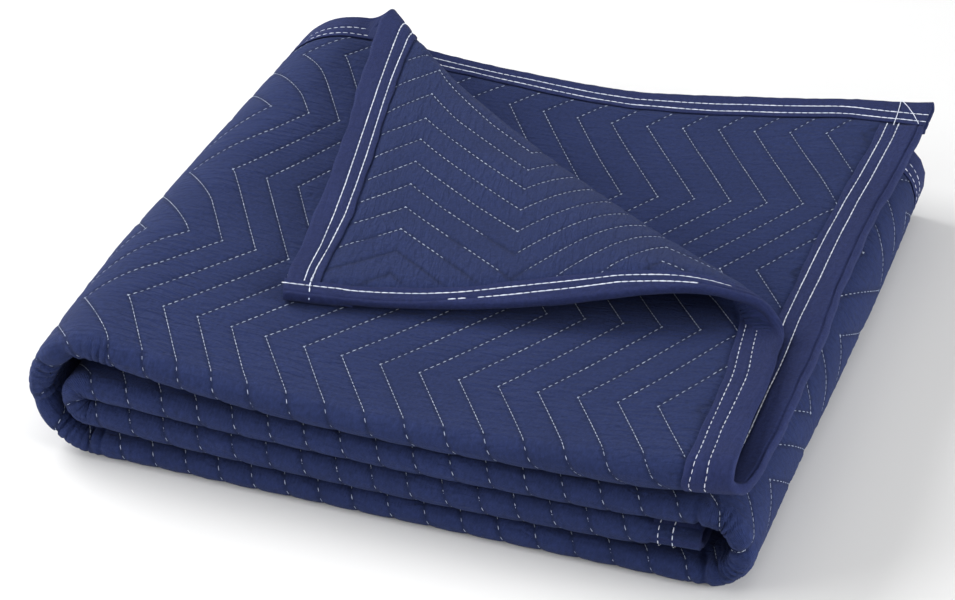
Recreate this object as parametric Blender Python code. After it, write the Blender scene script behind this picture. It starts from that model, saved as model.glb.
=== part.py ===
"""Quilted moving blanket, folded into a stack of eight layers with one corner turned back.

Metres, +Z up. The stack lies on z = 0 with its long folds along X and its front folds at -Y.

Each piece is cut flat and then folded. Flat positions are (u, v, n): u runs along the blanket's
length from the short end that lies on top, v runs across it from the long edge that lies at the
back of the top layer, and n is the height above the middle of the cloth on the side that lies
outwards. The blanket is doubled across its width (front folds), and the doubled strip is then
wound into four rows, from the top: A, B, C and D.
"""

import math

import bmesh
import bpy
import numpy as np
from mathutils import Vector

# Flat sizes
LENGTH = 1.844
WIDTH = 0.877
CLOTH = 0.0075  # quilted thickness
CLOTH_IN_BINDING = 0.004  # pressed thickness inside the folded tape
TAPE_WIDTH = 0.030  # what shows of the binding on each face
TAPE = 0.0012  # tape thickness
GAP = 0.0003  # between pieces that touch

# The rows of the stack, lowest first. A row is two layers: its height is shared between them.
# Columns: name, underside, top, radius of the row's sag (0 is flat).
ROWS = {
    "D": (0.0, 0.0170, 0.0),
    "C": (0.0170, 0.03825, 3.770),
    "B": (0.03825, 0.05775, 3.750),
    "A": (0.05775, 0.0800, 1.125),
}
OUTER_END_X = 0.2325  # where row A's short end lies, at the front fold
OUTER_WRAP_X = -0.184  # where row A starts to turn down on the left
RIGHT_WRAP_X = 0.205  # where row B starts to turn down on the right
INNER_WRAP_X = -0.195  # where row B starts to turn down on the left, inside row A's wrap
FRONT_Y = -0.2125  # centre of the front folds
STACK_MIDDLE = (0.0021, 0.0008)  # middle of the finished outline, moved to the origin

# How far each layer's long edge lies beyond an even fold, by distance along the strip.
# Columns: distance, outer layer, inner layer.
LONG_EDGES = (
    (0.000, 0.008, 0.006),
    (0.050, 0.007, 0.009),
    (0.125, 0.006, 0.004),
    (0.200, 0.005, -0.006),
    (0.280, 0.004, -0.006),
    (0.370, 0.002, -0.009),
    (0.410, -0.004, -0.010),
    (0.450, -0.013, -0.009),
    (0.500, -0.016, -0.006),
    (0.650, 0.000, 0.004),
    (0.980, 0.005, 0.004),
    (1.350, -0.003, 0.002),
    (LENGTH, 0.002, -0.003),
)
# How far the short end that lies on top is drawn in, by distance across from the front fold
# (negative on the outer layer). It fades out along the row.
TOP_END = ((-0.44, 0.035), (-0.36, 0.033), (-0.30, 0.030), (-0.20, 0.022), (-0.125, 0.0165), (-0.09, 0.013),
           (-0.03, 0.012), (0.0, 0.0125), (0.012, 0.005), (0.03, 0.001), (0.06, -0.001), (0.12, -0.0025),
           (0.25, -0.002), (0.34, -0.003), (0.44, -0.004))
TOP_END_FADE = 0.30
# How far the stack's sides lean inwards, by distance back from the front folds.
# Columns: distance, left side, right side below the top row.
SIDES = (
    (0.000, 0.000, 0.000),
    (0.120, 0.000, -0.001),
    (0.270, 0.009, -0.004),
    (0.360, 0.015, -0.004),
    (0.440, 0.020, -0.003),
)
SIDE_RUN = 0.13  # how far in from each side the lean fades out
FRONT_DROOP = 0.0075  # how far the inner layer hangs open at the top row's free front corner
DROOP_ALONG = 0.20  # and how far along the strip
DROOP_BACK = 0.10  # and back from the fold it does so

# The corner turned back over the stack. The crease is given by the places on the flat cloth where
# it meets the long edge and the short end, and by its radius at each.
CREASE_AT_LONG = (0.4260, 0.0)
CREASE_AT_SHORT = (0.0, 0.306)
CREASE_RADIUS_LONG = 0.0105
CREASE_RADIUS_SHORT = 0.0078
CORNER_SHEAR = 0.14  # how far the turned corner is pulled along the crease, per length turned back
CORNER_REST = 0.0108  # height of the corner's tip above the layer below, middle to middle
SETTLE_POWER = 1.5  # how soon past the crease the corner comes down to that height
ARCH_HEIGHT = 0.0225  # how far the free short end arches up beside the crease
ARCH_START = 0.55  # where the arch starts, as a share of the crease's half turn
ARCH_PLACE = 0.20  # where it is highest, as a share of the way from there to the tip
ARCH_POWER = 1.3  # how sharply it rises and falls about that place
ARCH_SIDE_POWER = 1.5  # how soon it dies away towards the long edge

BINDING_REACH = TAPE_WIDTH + 0.0006  # where the cloth leaves the binding
CLOTH_SWELL = 0.0035  # run over which it swells to full thickness

# Where the flat pieces bend: bends per stretch of the strip, around the front fold, between a
# front fold and an edge, and around the crease; then the runs past the crease's bend, and the
# shares of its length, at which the turned corner bends.
BENDS = {"A": 7, "outer wrap": 11, "D": 2, "right wrap": 8, "B": 5, "inner wrap": 7, "C": 5}
FRONT_FOLD_BENDS = 8
LAYER_BENDS = 4
CREASE_BENDS = 7
CORNER_RUNS = (0.005, 0.012, 0.022, 0.036, 0.055, 0.080, 0.115, 0.155)
CORNER_SHARES = (0.25, 0.45, 0.58, 0.67, 0.75, 0.81, 0.86, 0.90, 0.935, 0.965)

CLOTH_COLOUR = (0.030, 0.040, 0.115, 1.0)
TAPE_COLOUR = (0.036, 0.040, 0.120, 1.0)


def smooth(a):
    """0 to 1 with level ends."""
    a = np.clip(a, 0.0, 1.0)
    return a * a * (3.0 - 2.0 * a)


def row_height(name):
    """Height of a row's centre line at its lowest point."""
    return 0.5 * (ROWS[name][0] + ROWS[name][1])


def row_gap(name):
    """Distance between the middles of a row's two layers."""
    return 0.5 * (ROWS[name][1] - ROWS[name][0])


def strip_arcs():
    """The doubled strip seen from the front, outer end first.

    Each entry is name, centre x, centre z, radius, start angle, sweep. A flat row has radius 0
    and gives its start x, its height, 0, its length and 0 instead.
    """
    low = row_height("D")
    sag_a, sag_b, sag_c = ROWS["A"][2], ROWS["B"][2], ROWS["C"][2]
    down = 1.5 * math.pi
    up = 0.5 * math.pi

    tilt_a = math.asin(-OUTER_WRAP_X / sag_a)
    join_a = row_height("A") + sag_a * (1.0 - math.cos(tilt_a))
    outer = (join_a - low) / (1.0 + math.cos(tilt_a))
    outer_x = OUTER_WRAP_X - outer * math.sin(tilt_a)

    tilt_b = math.asin(RIGHT_WRAP_X / sag_b)
    join_b = row_height("B") + sag_b * (1.0 - math.cos(tilt_b))
    right = (join_b - low) / (1.0 + math.cos(tilt_b))
    right_x = RIGHT_WRAP_X + right * math.sin(tilt_b)

    tilt_in = math.asin(-INNER_WRAP_X / sag_b)
    inner = 0.5 * (sag_c - sag_b)
    inner_x = -(sag_b + inner) * math.sin(tilt_in)
    inner_z = row_height("B") + sag_b - (sag_b + inner) * math.cos(tilt_in)

    end_tilt = math.asin(OUTER_END_X / sag_a)
    arcs = [
        ("A", 0.0, row_height("A") + sag_a, sag_a, down + end_tilt, -end_tilt - tilt_a),
        ("outer wrap", outer_x, low + outer, outer, up - tilt_a, math.pi + tilt_a),
        ("D", outer_x, low, 0.0, right_x - outer_x, 0.0),
        ("right wrap", right_x, low + right, right, down, math.pi + tilt_b),
        ("B", 0.0, row_height("B") + sag_b, sag_b, down + tilt_b, -tilt_b - tilt_in),
        ("inner wrap", inner_x, inner_z, inner, up - tilt_in, math.pi),
    ]
    used = sum(arc_length(arc) for arc in arcs)
    arcs.append(("C", 0.0, row_height("B") + sag_b, sag_c, down - tilt_in, (LENGTH - used) / sag_c))
    return arcs


def arc_length(arc):
    """Length of one entry of the strip."""
    return abs(arc[5]) * arc[3] if arc[3] else arc[4]


STRIP = strip_arcs()
STARTS = np.concatenate([[0.0], np.cumsum([arc_length(arc) for arc in STRIP])])
PLACE = {arc[0]: (STARTS[i], STARTS[i + 1]) for i, arc in enumerate(STRIP)}


def strip_at(s):
    """Points of the strip's centre line and the outward direction there, as x and z."""
    x, z, nx, nz = (np.zeros_like(s) for _ in range(4))
    which = np.clip(np.searchsorted(STARTS, s, side="right") - 1, 0, len(STRIP) - 1)
    for i, (_, cx, cz, radius, start, sweep) in enumerate(STRIP):
        here = which == i
        along = s[here] - STARTS[i]
        if radius:
            turn = math.copysign(1.0, sweep)
            angle = start + turn * along / radius
            x[here] = cx + radius * np.cos(angle)
            z[here] = cz + radius * np.sin(angle)
            nx[here] = turn * np.cos(angle)
            nz[here] = turn * np.sin(angle)
        else:
            x[here] = cx + along
            z[here] = cz
            nz[here] = -1.0
    return x, z, nx, nz


def layer_gap(s):
    """Distance between the two layers along the strip, changing only around the wraps."""
    gap = np.full_like(s, row_gap("A"))
    for wrap, before, after in (("outer wrap", "A", "D"), ("right wrap", "D", "B"), ("inner wrap", "B", "C")):
        first, last = PLACE[wrap]
        gap += (row_gap(after) - row_gap(before)) * smooth((s - first) / (last - first))
    return gap


def column(table, place, index):
    """A value read from one column of a short table, by the place in its first column."""
    return np.interp(place, [row[0] for row in table], [row[index] for row in table])


def laid(u, v):
    """Where a flat place lies on the strip: along it, and across from the front fold."""
    across = v - 0.5 * WIDTH
    reach = np.where(across < 0.0, column(LONG_EDGES, u, 1), column(LONG_EDGES, u, 2))
    across = across * (1.0 + reach / (0.5 * WIDTH))
    fade = np.clip(1.0 - u / TOP_END_FADE, 0.0, 1.1)
    return u + column(TOP_END, across, 1) * fade, across


def stacked(s, across, height):
    """Points of the folded cloth's middle, lifted outwards by height."""
    half = 0.5 * layer_gap(s)
    droop = FRONT_DROOP * smooth(1.0 - s / DROOP_ALONG) * smooth(1.0 - np.abs(across) / DROOP_BACK)
    centre = -0.5 * droop
    half = half + 0.5 * droop
    quarter = 0.5 * math.pi * half
    turn = np.clip(across / half, -0.5 * math.pi, 0.5 * math.pi)
    back = np.maximum(np.abs(across) - quarter, 0.0)
    y = FRONT_Y - half * np.cos(turn) + back
    h = centre - half * np.sin(turn) + height
    x, z, nx, nz = strip_at(s)
    left = smooth((x - OUTER_WRAP_X) / -SIDE_RUN + 1.0) * column(SIDES, back, 1)
    lower_rows = s > PLACE["D"][0]
    right = np.where(lower_rows, smooth((x - RIGHT_WRAP_X) / SIDE_RUN + 1.0), 0.0) * column(SIDES, back, 2)
    return np.stack([x + nx * h + left - right, y, z + nz * h], axis=-1)


def crease_frame(start, end):
    """The crease's direction between two places, the direction over it to the corner, its length."""
    length = float(np.linalg.norm(end - start))
    direction = (end - start) / length
    return direction, np.array([-direction[1], direction[0]]), length


def on_strip(flat_place):
    """One flat place as a distance along the strip and across from the front fold."""
    return np.array([float(value) for value in laid(*(np.array(part) for part in flat_place))])


def turned_corner(s, across):
    """Places on the strip with the corner folded over its crease, and the height it is lifted."""
    start = on_strip(CREASE_AT_LONG)
    direction, over, length = crease_frame(start, on_strip(CREASE_AT_SHORT))
    along = (s - start[0]) * direction[0] + (across - start[1]) * direction[1]
    beyond = (s - start[0]) * over[0] + (across - start[1]) * over[1]
    past = np.maximum(beyond, 0.0)
    share = np.clip(along / length, 0.0, 1.0)
    radius = CREASE_RADIUS_LONG + (CREASE_RADIUS_SHORT - CREASE_RADIUS_LONG) * share
    turn = np.minimum(past / radius, math.pi)
    flat = np.maximum(past - math.pi * radius, 0.0)
    shift = radius * np.sin(turn) - flat - past
    height = radius * (1.0 - np.cos(turn))

    corner = on_strip((0.0, 0.0)) - start
    to_tip = np.clip(flat / (corner @ over - math.pi * radius), 0.0, 1.0)
    to_short = np.clip(share - to_tip * (corner @ direction) / length, 0.0, 1.0)
    settle = (CORNER_REST - 2.0 * radius) * (1.0 - (1.0 - to_tip) ** SETTLE_POWER)
    before = ARCH_START * math.pi * radius
    rise = np.maximum(past - before, 0.0) / (corner @ over - before) / ARCH_PLACE
    lift = ARCH_HEIGHT * np.clip(to_tip + to_short, 0.0, 1.0) ** ARCH_SIDE_POWER
    height = height + settle + lift * (rise * np.exp(1.0 - rise)) ** ARCH_POWER
    pull = -CORNER_SHEAR * flat
    s = s + shift * over[0] + pull * direction[0]
    across = across + shift * over[1] + pull * direction[1]
    return s, across, height


def middle_of_cloth(u, v):
    """The folded cloth's middle surface."""
    return stacked(*turned_corner(*laid(u, v)))


def folded(flat):
    """Flat positions (u, v, n) carried to their place in the folded stack."""
    u, v, n = flat.T
    step = 2e-5
    along = middle_of_cloth(u + step, v) - middle_of_cloth(u - step, v)
    across = middle_of_cloth(u, v + step) - middle_of_cloth(u, v - step)
    normal = np.cross(along, across)
    normal /= np.linalg.norm(normal, axis=1, keepdims=True)
    place = middle_of_cloth(u, v) + normal * n[:, None]
    underside = row_height("D") - 0.5 * (row_gap("D") + CLOTH)
    return place - np.array([*STACK_MIDDLE, underside])


def spread(first, last, count):
    """Evenly spaced places after first, up to and with last."""
    return [first + (last - first) * (i + 1) / count for i in range(count)]


def lines_along():
    """Places along the length where the cloth bends."""
    lines = []
    for name, count in BENDS.items():
        lines += spread(*PLACE[name], count)
    edge = [0.0, BINDING_REACH, BINDING_REACH + CLOTH_SWELL]
    clear = 1.5 * TAPE_WIDTH
    inside = [s for s in lines if clear < s < LENGTH - clear]
    return edge + inside + [LENGTH - e for e in reversed(edge)]


def lines_across():
    """Places across the width where the cloth bends: the front fold, and a few between."""
    half_fold = 0.25 * math.pi * row_gap("A")
    middle = 0.5 * WIDTH
    fold = [middle - half_fold] + spread(middle - half_fold, middle + half_fold, FRONT_FOLD_BENDS)
    edge = [0.0, BINDING_REACH, BINDING_REACH + CLOTH_SWELL]
    near = edge + spread(edge[2], fold[0], LAYER_BENDS)[:-1]
    return near + fold + [WIDTH - v for v in reversed(near)]


def thickness_at(u, v):
    """Cloth thickness: full, or pressed flat where a binding closes over it."""
    from_edge = min(u, v, LENGTH - u, WIDTH - v)
    swell = (from_edge - BINDING_REACH) / CLOTH_SWELL
    return CLOTH_IN_BINDING + (CLOTH - CLOTH_IN_BINDING) * min(max(swell, 0.0), 1.0)


def flat_cloth():
    """The quilted sheet laid flat, as a closed mesh."""
    us, vs = lines_along(), lines_across()
    mesh = bmesh.new()
    top, under = {}, {}
    for i, u in enumerate(us):
        for j, v in enumerate(vs):
            half = 0.5 * thickness_at(u, v)
            top[i, j] = mesh.verts.new((u, v, half))
            under[i, j] = mesh.verts.new((u, v, -half))
    for i in range(len(us) - 1):
        for j in range(len(vs) - 1):
            ring = [(i, j), (i + 1, j), (i + 1, j + 1), (i, j + 1)]
            mesh.faces.new([top[k] for k in ring])
            mesh.faces.new([under[k] for k in reversed(ring)])
    rim = [(i, 0) for i in range(len(us))]
    rim += [(len(us) - 1, j) for j in range(1, len(vs))]
    rim += [(i, len(vs) - 1) for i in reversed(range(len(us) - 1))]
    rim += [(0, j) for j in reversed(range(1, len(vs) - 1))]
    for k, start in enumerate(rim):
        end = rim[(k + 1) % len(rim)]
        mesh.faces.new([top[start], under[start], under[end], top[end]])
    return mesh


def tape_section():
    """The binding's folded section: distance in from the cloth's edge, and height."""
    inner = 0.5 * CLOTH_IN_BINDING + GAP
    outer = inner + TAPE
    nose = GAP + TAPE
    return [
        (TAPE_WIDTH, inner), (-GAP, inner), (-GAP, -inner), (TAPE_WIDTH, -inner),
        (TAPE_WIDTH, -outer), (0.5 * nose, -outer), (-nose, -0.5 * inner),
        (-nose, 0.5 * inner), (0.5 * nose, outer), (TAPE_WIDTH, outer),
    ]


def flat_binding(runs, place):
    """A binding laid flat: its section at each of the places it bends, joined and closed."""
    section = tape_section()
    mesh = bmesh.new()
    rings = [[mesh.verts.new(place(run, inward, n)) for inward, n in section] for run in runs]
    count = len(section)
    for near, far in zip(rings, rings[1:]):
        for k in range(count):
            mesh.faces.new([near[k], near[(k + 1) % count], far[(k + 1) % count], far[k]])
    mesh.faces.new(list(reversed(rings[0])))
    mesh.faces.new(rings[-1])
    bmesh.ops.recalc_face_normals(mesh, faces=mesh.faces[:])
    return mesh


def bend_line(mesh, faces, place, direction):
    """Cuts some faces of a flat piece along one line, so that it can bend there."""
    parts = {part for face in faces for part in (*face.verts, *face.edges)}
    bmesh.ops.bisect_plane(
        mesh,
        geom=faces + list(parts),
        dist=1e-6,
        plane_co=Vector((*place, 0.0)),
        plane_no=Vector((*direction, 0.0)),
    )


def cut_for_corner(mesh):
    """Adds the bends of the turned corner: beside its crease, then across it."""
    start = np.array(CREASE_AT_LONG)
    direction, over, length = crease_frame(start, np.array(CREASE_AT_SHORT))
    bend = 0.5 * math.pi * (CREASE_RADIUS_LONG + CREASE_RADIUS_SHORT)
    for run in [0.0] + spread(0.0, bend, CREASE_BENDS) + [bend + run for run in CORNER_RUNS]:
        bend_line(mesh, mesh.faces[:], start + over * run, over)
    for share in CORNER_SHARES:
        corner = [face for face in mesh.faces if (np.array(face.calc_center_median()[:2]) - start) @ over > 0.0]
        bend_line(mesh, corner, start + direction * length * share, direction)


def material(name, colour, roughness):
    """A plain Principled finish."""
    finish = bpy.data.materials.new(name)
    finish.use_nodes = True
    shader = finish.node_tree.nodes["Principled BSDF"]
    shader.inputs["Base Color"].default_value = colour
    shader.inputs["Roughness"].default_value = roughness
    shader.inputs["Metallic"].default_value = 0.0
    return finish


def add_piece(name, mesh, finish, parent):
    """Folds a flat piece and adds it as an object."""
    cut_for_corner(mesh)
    bmesh.ops.triangulate(mesh, faces=mesh.faces[:], quad_method="BEAUTY", ngon_method="BEAUTY")
    mesh.verts.ensure_lookup_table()
    places = folded(np.array([vert.co[:] for vert in mesh.verts], dtype=float))
    for vert, place in zip(mesh.verts, places):
        vert.co = place
    data = bpy.data.meshes.new(name)
    mesh.to_mesh(data)
    mesh.free()
    data.materials.append(finish)
    piece = bpy.data.objects.new(name, data)
    piece.parent = parent
    bpy.context.scene.collection.objects.link(piece)
    return piece


def main():
    for old in list(bpy.data.objects):
        bpy.data.objects.remove(old, do_unlink=True)
    stack = bpy.data.objects.new("folded_stack", None)
    bpy.context.scene.collection.objects.link(stack)
    cloth = material("quilted_cloth", CLOTH_COLOUR, 0.9)
    tape = material("binding_tape", TAPE_COLOUR, 0.85)
    add_piece("quilt_cloth", flat_cloth(), cloth, stack)

    overhang = GAP + TAPE  # the long bindings reach past the short ends by their own thickness
    along = [-overhang] + lines_along()[1:-1] + [LENGTH + overhang]
    butt = TAPE_WIDTH + GAP  # the short bindings stop against the long ones
    across = [butt] + [v for v in lines_across() if butt + 0.002 < v < WIDTH - butt - 0.002] + [WIDTH - butt]
    bindings = {
        "binding_long_outer": (along, lambda run, inward, n: (run, inward, n)),
        "binding_long_inner": (along, lambda run, inward, n: (run, WIDTH - inward, n)),
        "binding_end_outer": (across, lambda run, inward, n: (inward, run, n)),
        "binding_end_inner": (across, lambda run, inward, n: (LENGTH - inward, run, n)),
    }
    for name, (runs, place) in bindings.items():
        add_piece(name, flat_binding(runs, place), tape, stack)


main()
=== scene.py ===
# %% [markdown]
# # A folded moving blanket
#
# Movers wrap furniture in blankets like this one. It is a single quilted sheet: two thin woven
# covers with wadding between them, sewn together along zigzag lines, and a folded tape sewn over
# each of its four edges. This one is doubled across its width, wound into a flat stack of four
# rows, and one corner of its top layer is turned back.
#
# Every later step works on the flat blanket first, and one function then carries flat places to
# their place in the folded stack. That is how the real thing is made, and it means that threads,
# channels and tapes follow each fold by themselves.

import math

import bmesh
import bpy
import numpy as np
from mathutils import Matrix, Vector


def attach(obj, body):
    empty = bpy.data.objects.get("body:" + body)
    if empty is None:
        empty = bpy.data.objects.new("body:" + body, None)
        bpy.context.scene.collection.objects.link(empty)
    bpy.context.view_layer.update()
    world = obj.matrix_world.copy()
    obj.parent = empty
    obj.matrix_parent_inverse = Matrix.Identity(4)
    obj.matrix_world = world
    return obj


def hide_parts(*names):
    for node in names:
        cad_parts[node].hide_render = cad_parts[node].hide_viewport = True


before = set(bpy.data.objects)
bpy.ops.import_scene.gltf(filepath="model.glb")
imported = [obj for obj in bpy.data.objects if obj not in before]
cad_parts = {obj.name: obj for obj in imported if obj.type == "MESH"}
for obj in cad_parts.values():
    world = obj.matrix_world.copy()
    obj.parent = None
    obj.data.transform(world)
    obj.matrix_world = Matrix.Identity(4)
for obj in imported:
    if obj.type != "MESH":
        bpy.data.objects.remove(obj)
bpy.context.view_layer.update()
print("CAD nodes:", sorted(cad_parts))

# %% [markdown]
# ## The blanket's own sizes
#
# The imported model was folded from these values, and the sheet made here has to lie on the same
# folds, so they are the same values again. All are in metres. Their scale is an assumption: the
# length is near that of a nominal 0.91 x 1.83 m pad, and the other sizes keep their proportion.
#
# A flat place on the blanket has two coordinates: u is the distance from the short end that lies
# on top of the stack, and v is the distance from the long edge that lies at the back of the top
# layer. A third, n, is the height above the middle of the cloth. It is positive on the outer
# face, which shows on top of the stack, and negative on the inner face, which shows on the turned
# corner.

# %% Flat sizes and the rows of the stack
LENGTH = 1.844
WIDTH = 0.877
FOLD_V = 0.5 * WIDTH  # the front fold's distance across
CLOTH = 0.0075  # quilted thickness
CLOTH_IN_BINDING = 0.004  # pressed thickness inside the folded tape
TAPE_WIDTH = 0.030  # what shows of the binding on each face
TAPE = 0.0012  # tape thickness
GAP = 0.0003  # between pieces that touch

# Name: underside, top, radius of the row's sag (0 is flat). A row is two layers.
ROWS = {
    "D": (0.0, 0.0170, 0.0),
    "C": (0.0170, 0.03825, 3.770),
    "B": (0.03825, 0.05775, 3.750),
    "A": (0.05775, 0.0800, 1.125),
}
OUTER_END_X = 0.2325  # where row A's short end lies, at the front fold
OUTER_WRAP_X = -0.184  # where row A starts to turn down on the left
RIGHT_WRAP_X = 0.205  # where row B starts to turn down on the right
INNER_WRAP_X = -0.195  # where row B starts to turn down on the left, inside row A's wrap
FRONT_Y = -0.2125  # centre of the front folds
STACK_MIDDLE = (0.0021, 0.0008)  # middle of the finished outline, moved to the origin
print(f"Flat blanket: {LENGTH} x {WIDTH} m, {1000 * CLOTH:.1f} mm thick")

# %% How the layers slip past each other
# Columns: distance along the strip, how far the long edge reaches on the outer and inner layer.
LONG_EDGES = (
    (0.000, 0.008, 0.006),
    (0.050, 0.007, 0.009),
    (0.125, 0.006, 0.004),
    (0.200, 0.005, -0.006),
    (0.280, 0.004, -0.006),
    (0.370, 0.002, -0.009),
    (0.410, -0.004, -0.010),
    (0.450, -0.013, -0.009),
    (0.500, -0.016, -0.006),
    (0.650, 0.000, 0.004),
    (0.980, 0.005, 0.004),
    (1.350, -0.003, 0.002),
    (LENGTH, 0.002, -0.003),
)
# Columns: distance across from the front fold, how far the top short end is drawn in there.
TOP_END = ((-0.44, 0.035), (-0.36, 0.033), (-0.30, 0.030), (-0.20, 0.022), (-0.125, 0.0165), (-0.09, 0.013),
           (-0.03, 0.012), (0.0, 0.0125), (0.012, 0.005), (0.03, 0.001), (0.06, -0.001), (0.12, -0.0025),
           (0.25, -0.002), (0.34, -0.003), (0.44, -0.004))
TOP_END_FADE = 0.30  # how far along the strip the drawing in fades out
# Columns: distance back from the front folds, lean of the left side, lean of the right side.
SIDES = (
    (0.000, 0.000, 0.000),
    (0.120, 0.000, -0.001),
    (0.270, 0.009, -0.004),
    (0.360, 0.015, -0.004),
    (0.440, 0.020, -0.003),
)
SIDE_RUN = 0.13  # how far in from each side the lean fades out
FRONT_DROOP = 0.0075  # how far the inner layer hangs open at the top row's free front corner
DROOP_ALONG = 0.20  # and how far along the strip
DROOP_BACK = 0.10  # and back from the fold it does so

# %% [markdown]
# One corner of the top layer is turned back over a crease, which runs slantwise from the long edge
# to the short end. Past the crease the corner comes down onto the layer that it was turned over,
# and its free short end arches up a little.

# %% The turned corner's sizes
CREASE_AT_LONG = (0.4260, 0.0)  # the flat place where the crease meets the long edge
CREASE_AT_SHORT = (0.0, 0.306)  # and the short end
CREASE_RADIUS_LONG = 0.0105  # its radius at the long edge
CREASE_RADIUS_SHORT = 0.0078  # and at the short end
CORNER_SHEAR = 0.14  # how far the turned corner is pulled along the crease, per length turned back
CORNER_REST = 0.0108  # height of its tip above the layer that it lies on, but for the arch
SETTLE_POWER = 1.5  # how soon past the crease the corner comes down to that height
ARCH_HEIGHT = 0.0225  # how far the free short end arches up beside the crease
ARCH_START = 0.55  # where the arch starts, as a share of the crease's half turn
ARCH_PLACE = 0.20  # where it is highest, as a share of the way from there to the tip
ARCH_POWER = 1.3  # how sharply it rises and falls about that place
ARCH_SIDE_POWER = 1.5  # how soon it dies away towards the long edge

# %% [markdown]
# The edges of folded cloth are seldom quite even. Here the turned corner's short end hangs down a
# little, and the edges creep in and out by a few millimetres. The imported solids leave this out, so
# the pieces of this scene depart from them slightly.

# %% Hang and drift of the edges
# Columns: distance along the top short end, how far it hangs down from the turned corner.
END_HANG = ((0.0, 0.0020), (0.05, 0.0032), (0.20, 0.0042), (0.26, 0.0046), (0.30, 0.0015), (0.32, 0.0))
END_HANG_RUN = 0.030  # how far in from the end the hang fades out
# Columns: distance along the edge, how far the edge has crept outwards.
LONG_CREEP = ((0.0, 0.0040), (0.010, 0.0048), (0.030, 0.0046), (0.060, 0.0012), (0.100, -0.0010),
              (0.140, -0.0033), (0.180, -0.0046), (0.220, -0.0050), (0.260, -0.0037), (0.300, -0.0018),
              (0.340, -0.0005), (0.380, 0.0), (0.400, 0.0), (0.430, -0.0040), (0.500, -0.0040),
              (0.580, 0.0))
BACK_CREEP = ((0.0, 0.0020), (0.024, 0.0026), (0.066, 0.0042), (0.150, 0.0036), (0.190, 0.0030),
              (0.230, 0.0018), (0.330, 0.0015), (0.450, 0.0))
END_CREEP = ((0.300, 0.0), (0.340, -0.0006), (0.400, -0.0006), (0.425, 0.0008), (0.434, 0.0008),
             (0.442, 0.0), (0.480, 0.0002), (0.520, 0.0015), (0.570, 0.0018), (0.610, 0.0002),
             (0.650, -0.0014), (0.710, -0.0020), (0.750, -0.0010), (0.780, 0.0010), (0.830, 0.0030),
             (WIDTH, 0.0020))
CREEP_RUN = 0.080  # how far in from the edge the drift fades out

# %% [markdown]
# ## Folding the blanket
#
# Folding is done in three moves. First the strip: the doubled blanket, seen from the front, is a
# spiral of straight rows and round wraps, so a distance along it gives an x, a z and the outward
# direction. Next the front fold, which doubles the cloth across its width. Last the corner, which
# is reflected over its crease and lifted on a bend of its own.

# %% Small helpers
def smooth(a):
    """0 to 1 with level ends."""
    a = np.clip(a, 0.0, 1.0)
    return a * a * (3.0 - 2.0 * a)


def column(table, place, index):
    """A value read from one column of a short table, by the place in its first column."""
    return np.interp(place, [row[0] for row in table], [row[index] for row in table])


def row_height(name):
    """Height of a row's centre line at its lowest point."""
    return 0.5 * (ROWS[name][0] + ROWS[name][1])


def row_gap(name):
    """Distance between the middles of a row's two layers."""
    return 0.5 * (ROWS[name][1] - ROWS[name][0])


# %% The spiral of the strip
def arc_length(arc):
    return abs(arc[5]) * arc[3] if arc[3] else arc[4]


def strip_arcs():
    """Name, centre x, centre z, radius, start angle, sweep. A flat row gives its length instead."""
    low = row_height("D")
    sag_a, sag_b, sag_c = ROWS["A"][2], ROWS["B"][2], ROWS["C"][2]
    down, up = 1.5 * math.pi, 0.5 * math.pi

    tilt_a = math.asin(-OUTER_WRAP_X / sag_a)
    join_a = row_height("A") + sag_a * (1.0 - math.cos(tilt_a))
    outer = (join_a - low) / (1.0 + math.cos(tilt_a))
    outer_x = OUTER_WRAP_X - outer * math.sin(tilt_a)

    tilt_b = math.asin(RIGHT_WRAP_X / sag_b)
    join_b = row_height("B") + sag_b * (1.0 - math.cos(tilt_b))
    right = (join_b - low) / (1.0 + math.cos(tilt_b))
    right_x = RIGHT_WRAP_X + right * math.sin(tilt_b)

    tilt_in = math.asin(-INNER_WRAP_X / sag_b)
    inner = 0.5 * (sag_c - sag_b)
    inner_x = -(sag_b + inner) * math.sin(tilt_in)
    inner_z = row_height("B") + sag_b - (sag_b + inner) * math.cos(tilt_in)

    end_tilt = math.asin(OUTER_END_X / sag_a)
    arcs = [
        ("A", 0.0, row_height("A") + sag_a, sag_a, down + end_tilt, -end_tilt - tilt_a),
        ("outer wrap", outer_x, low + outer, outer, up - tilt_a, math.pi + tilt_a),
        ("D", outer_x, low, 0.0, right_x - outer_x, 0.0),
        ("right wrap", right_x, low + right, right, down, math.pi + tilt_b),
        ("B", 0.0, row_height("B") + sag_b, sag_b, down + tilt_b, -tilt_b - tilt_in),
        ("inner wrap", inner_x, inner_z, inner, up - tilt_in, math.pi),
    ]
    used = sum(arc_length(arc) for arc in arcs)
    arcs.append(("C", 0.0, row_height("B") + sag_b, sag_c, down - tilt_in, (LENGTH - used) / sag_c))
    return arcs


STRIP = strip_arcs()
STARTS = np.concatenate([[0.0], np.cumsum([arc_length(arc) for arc in STRIP])])
PLACE = {arc[0]: (STARTS[i], STARTS[i + 1]) for i, arc in enumerate(STRIP)}
print("Strip in mm:", {name: [round(1000 * end) for end in ends] for name, ends in PLACE.items()})


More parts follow.
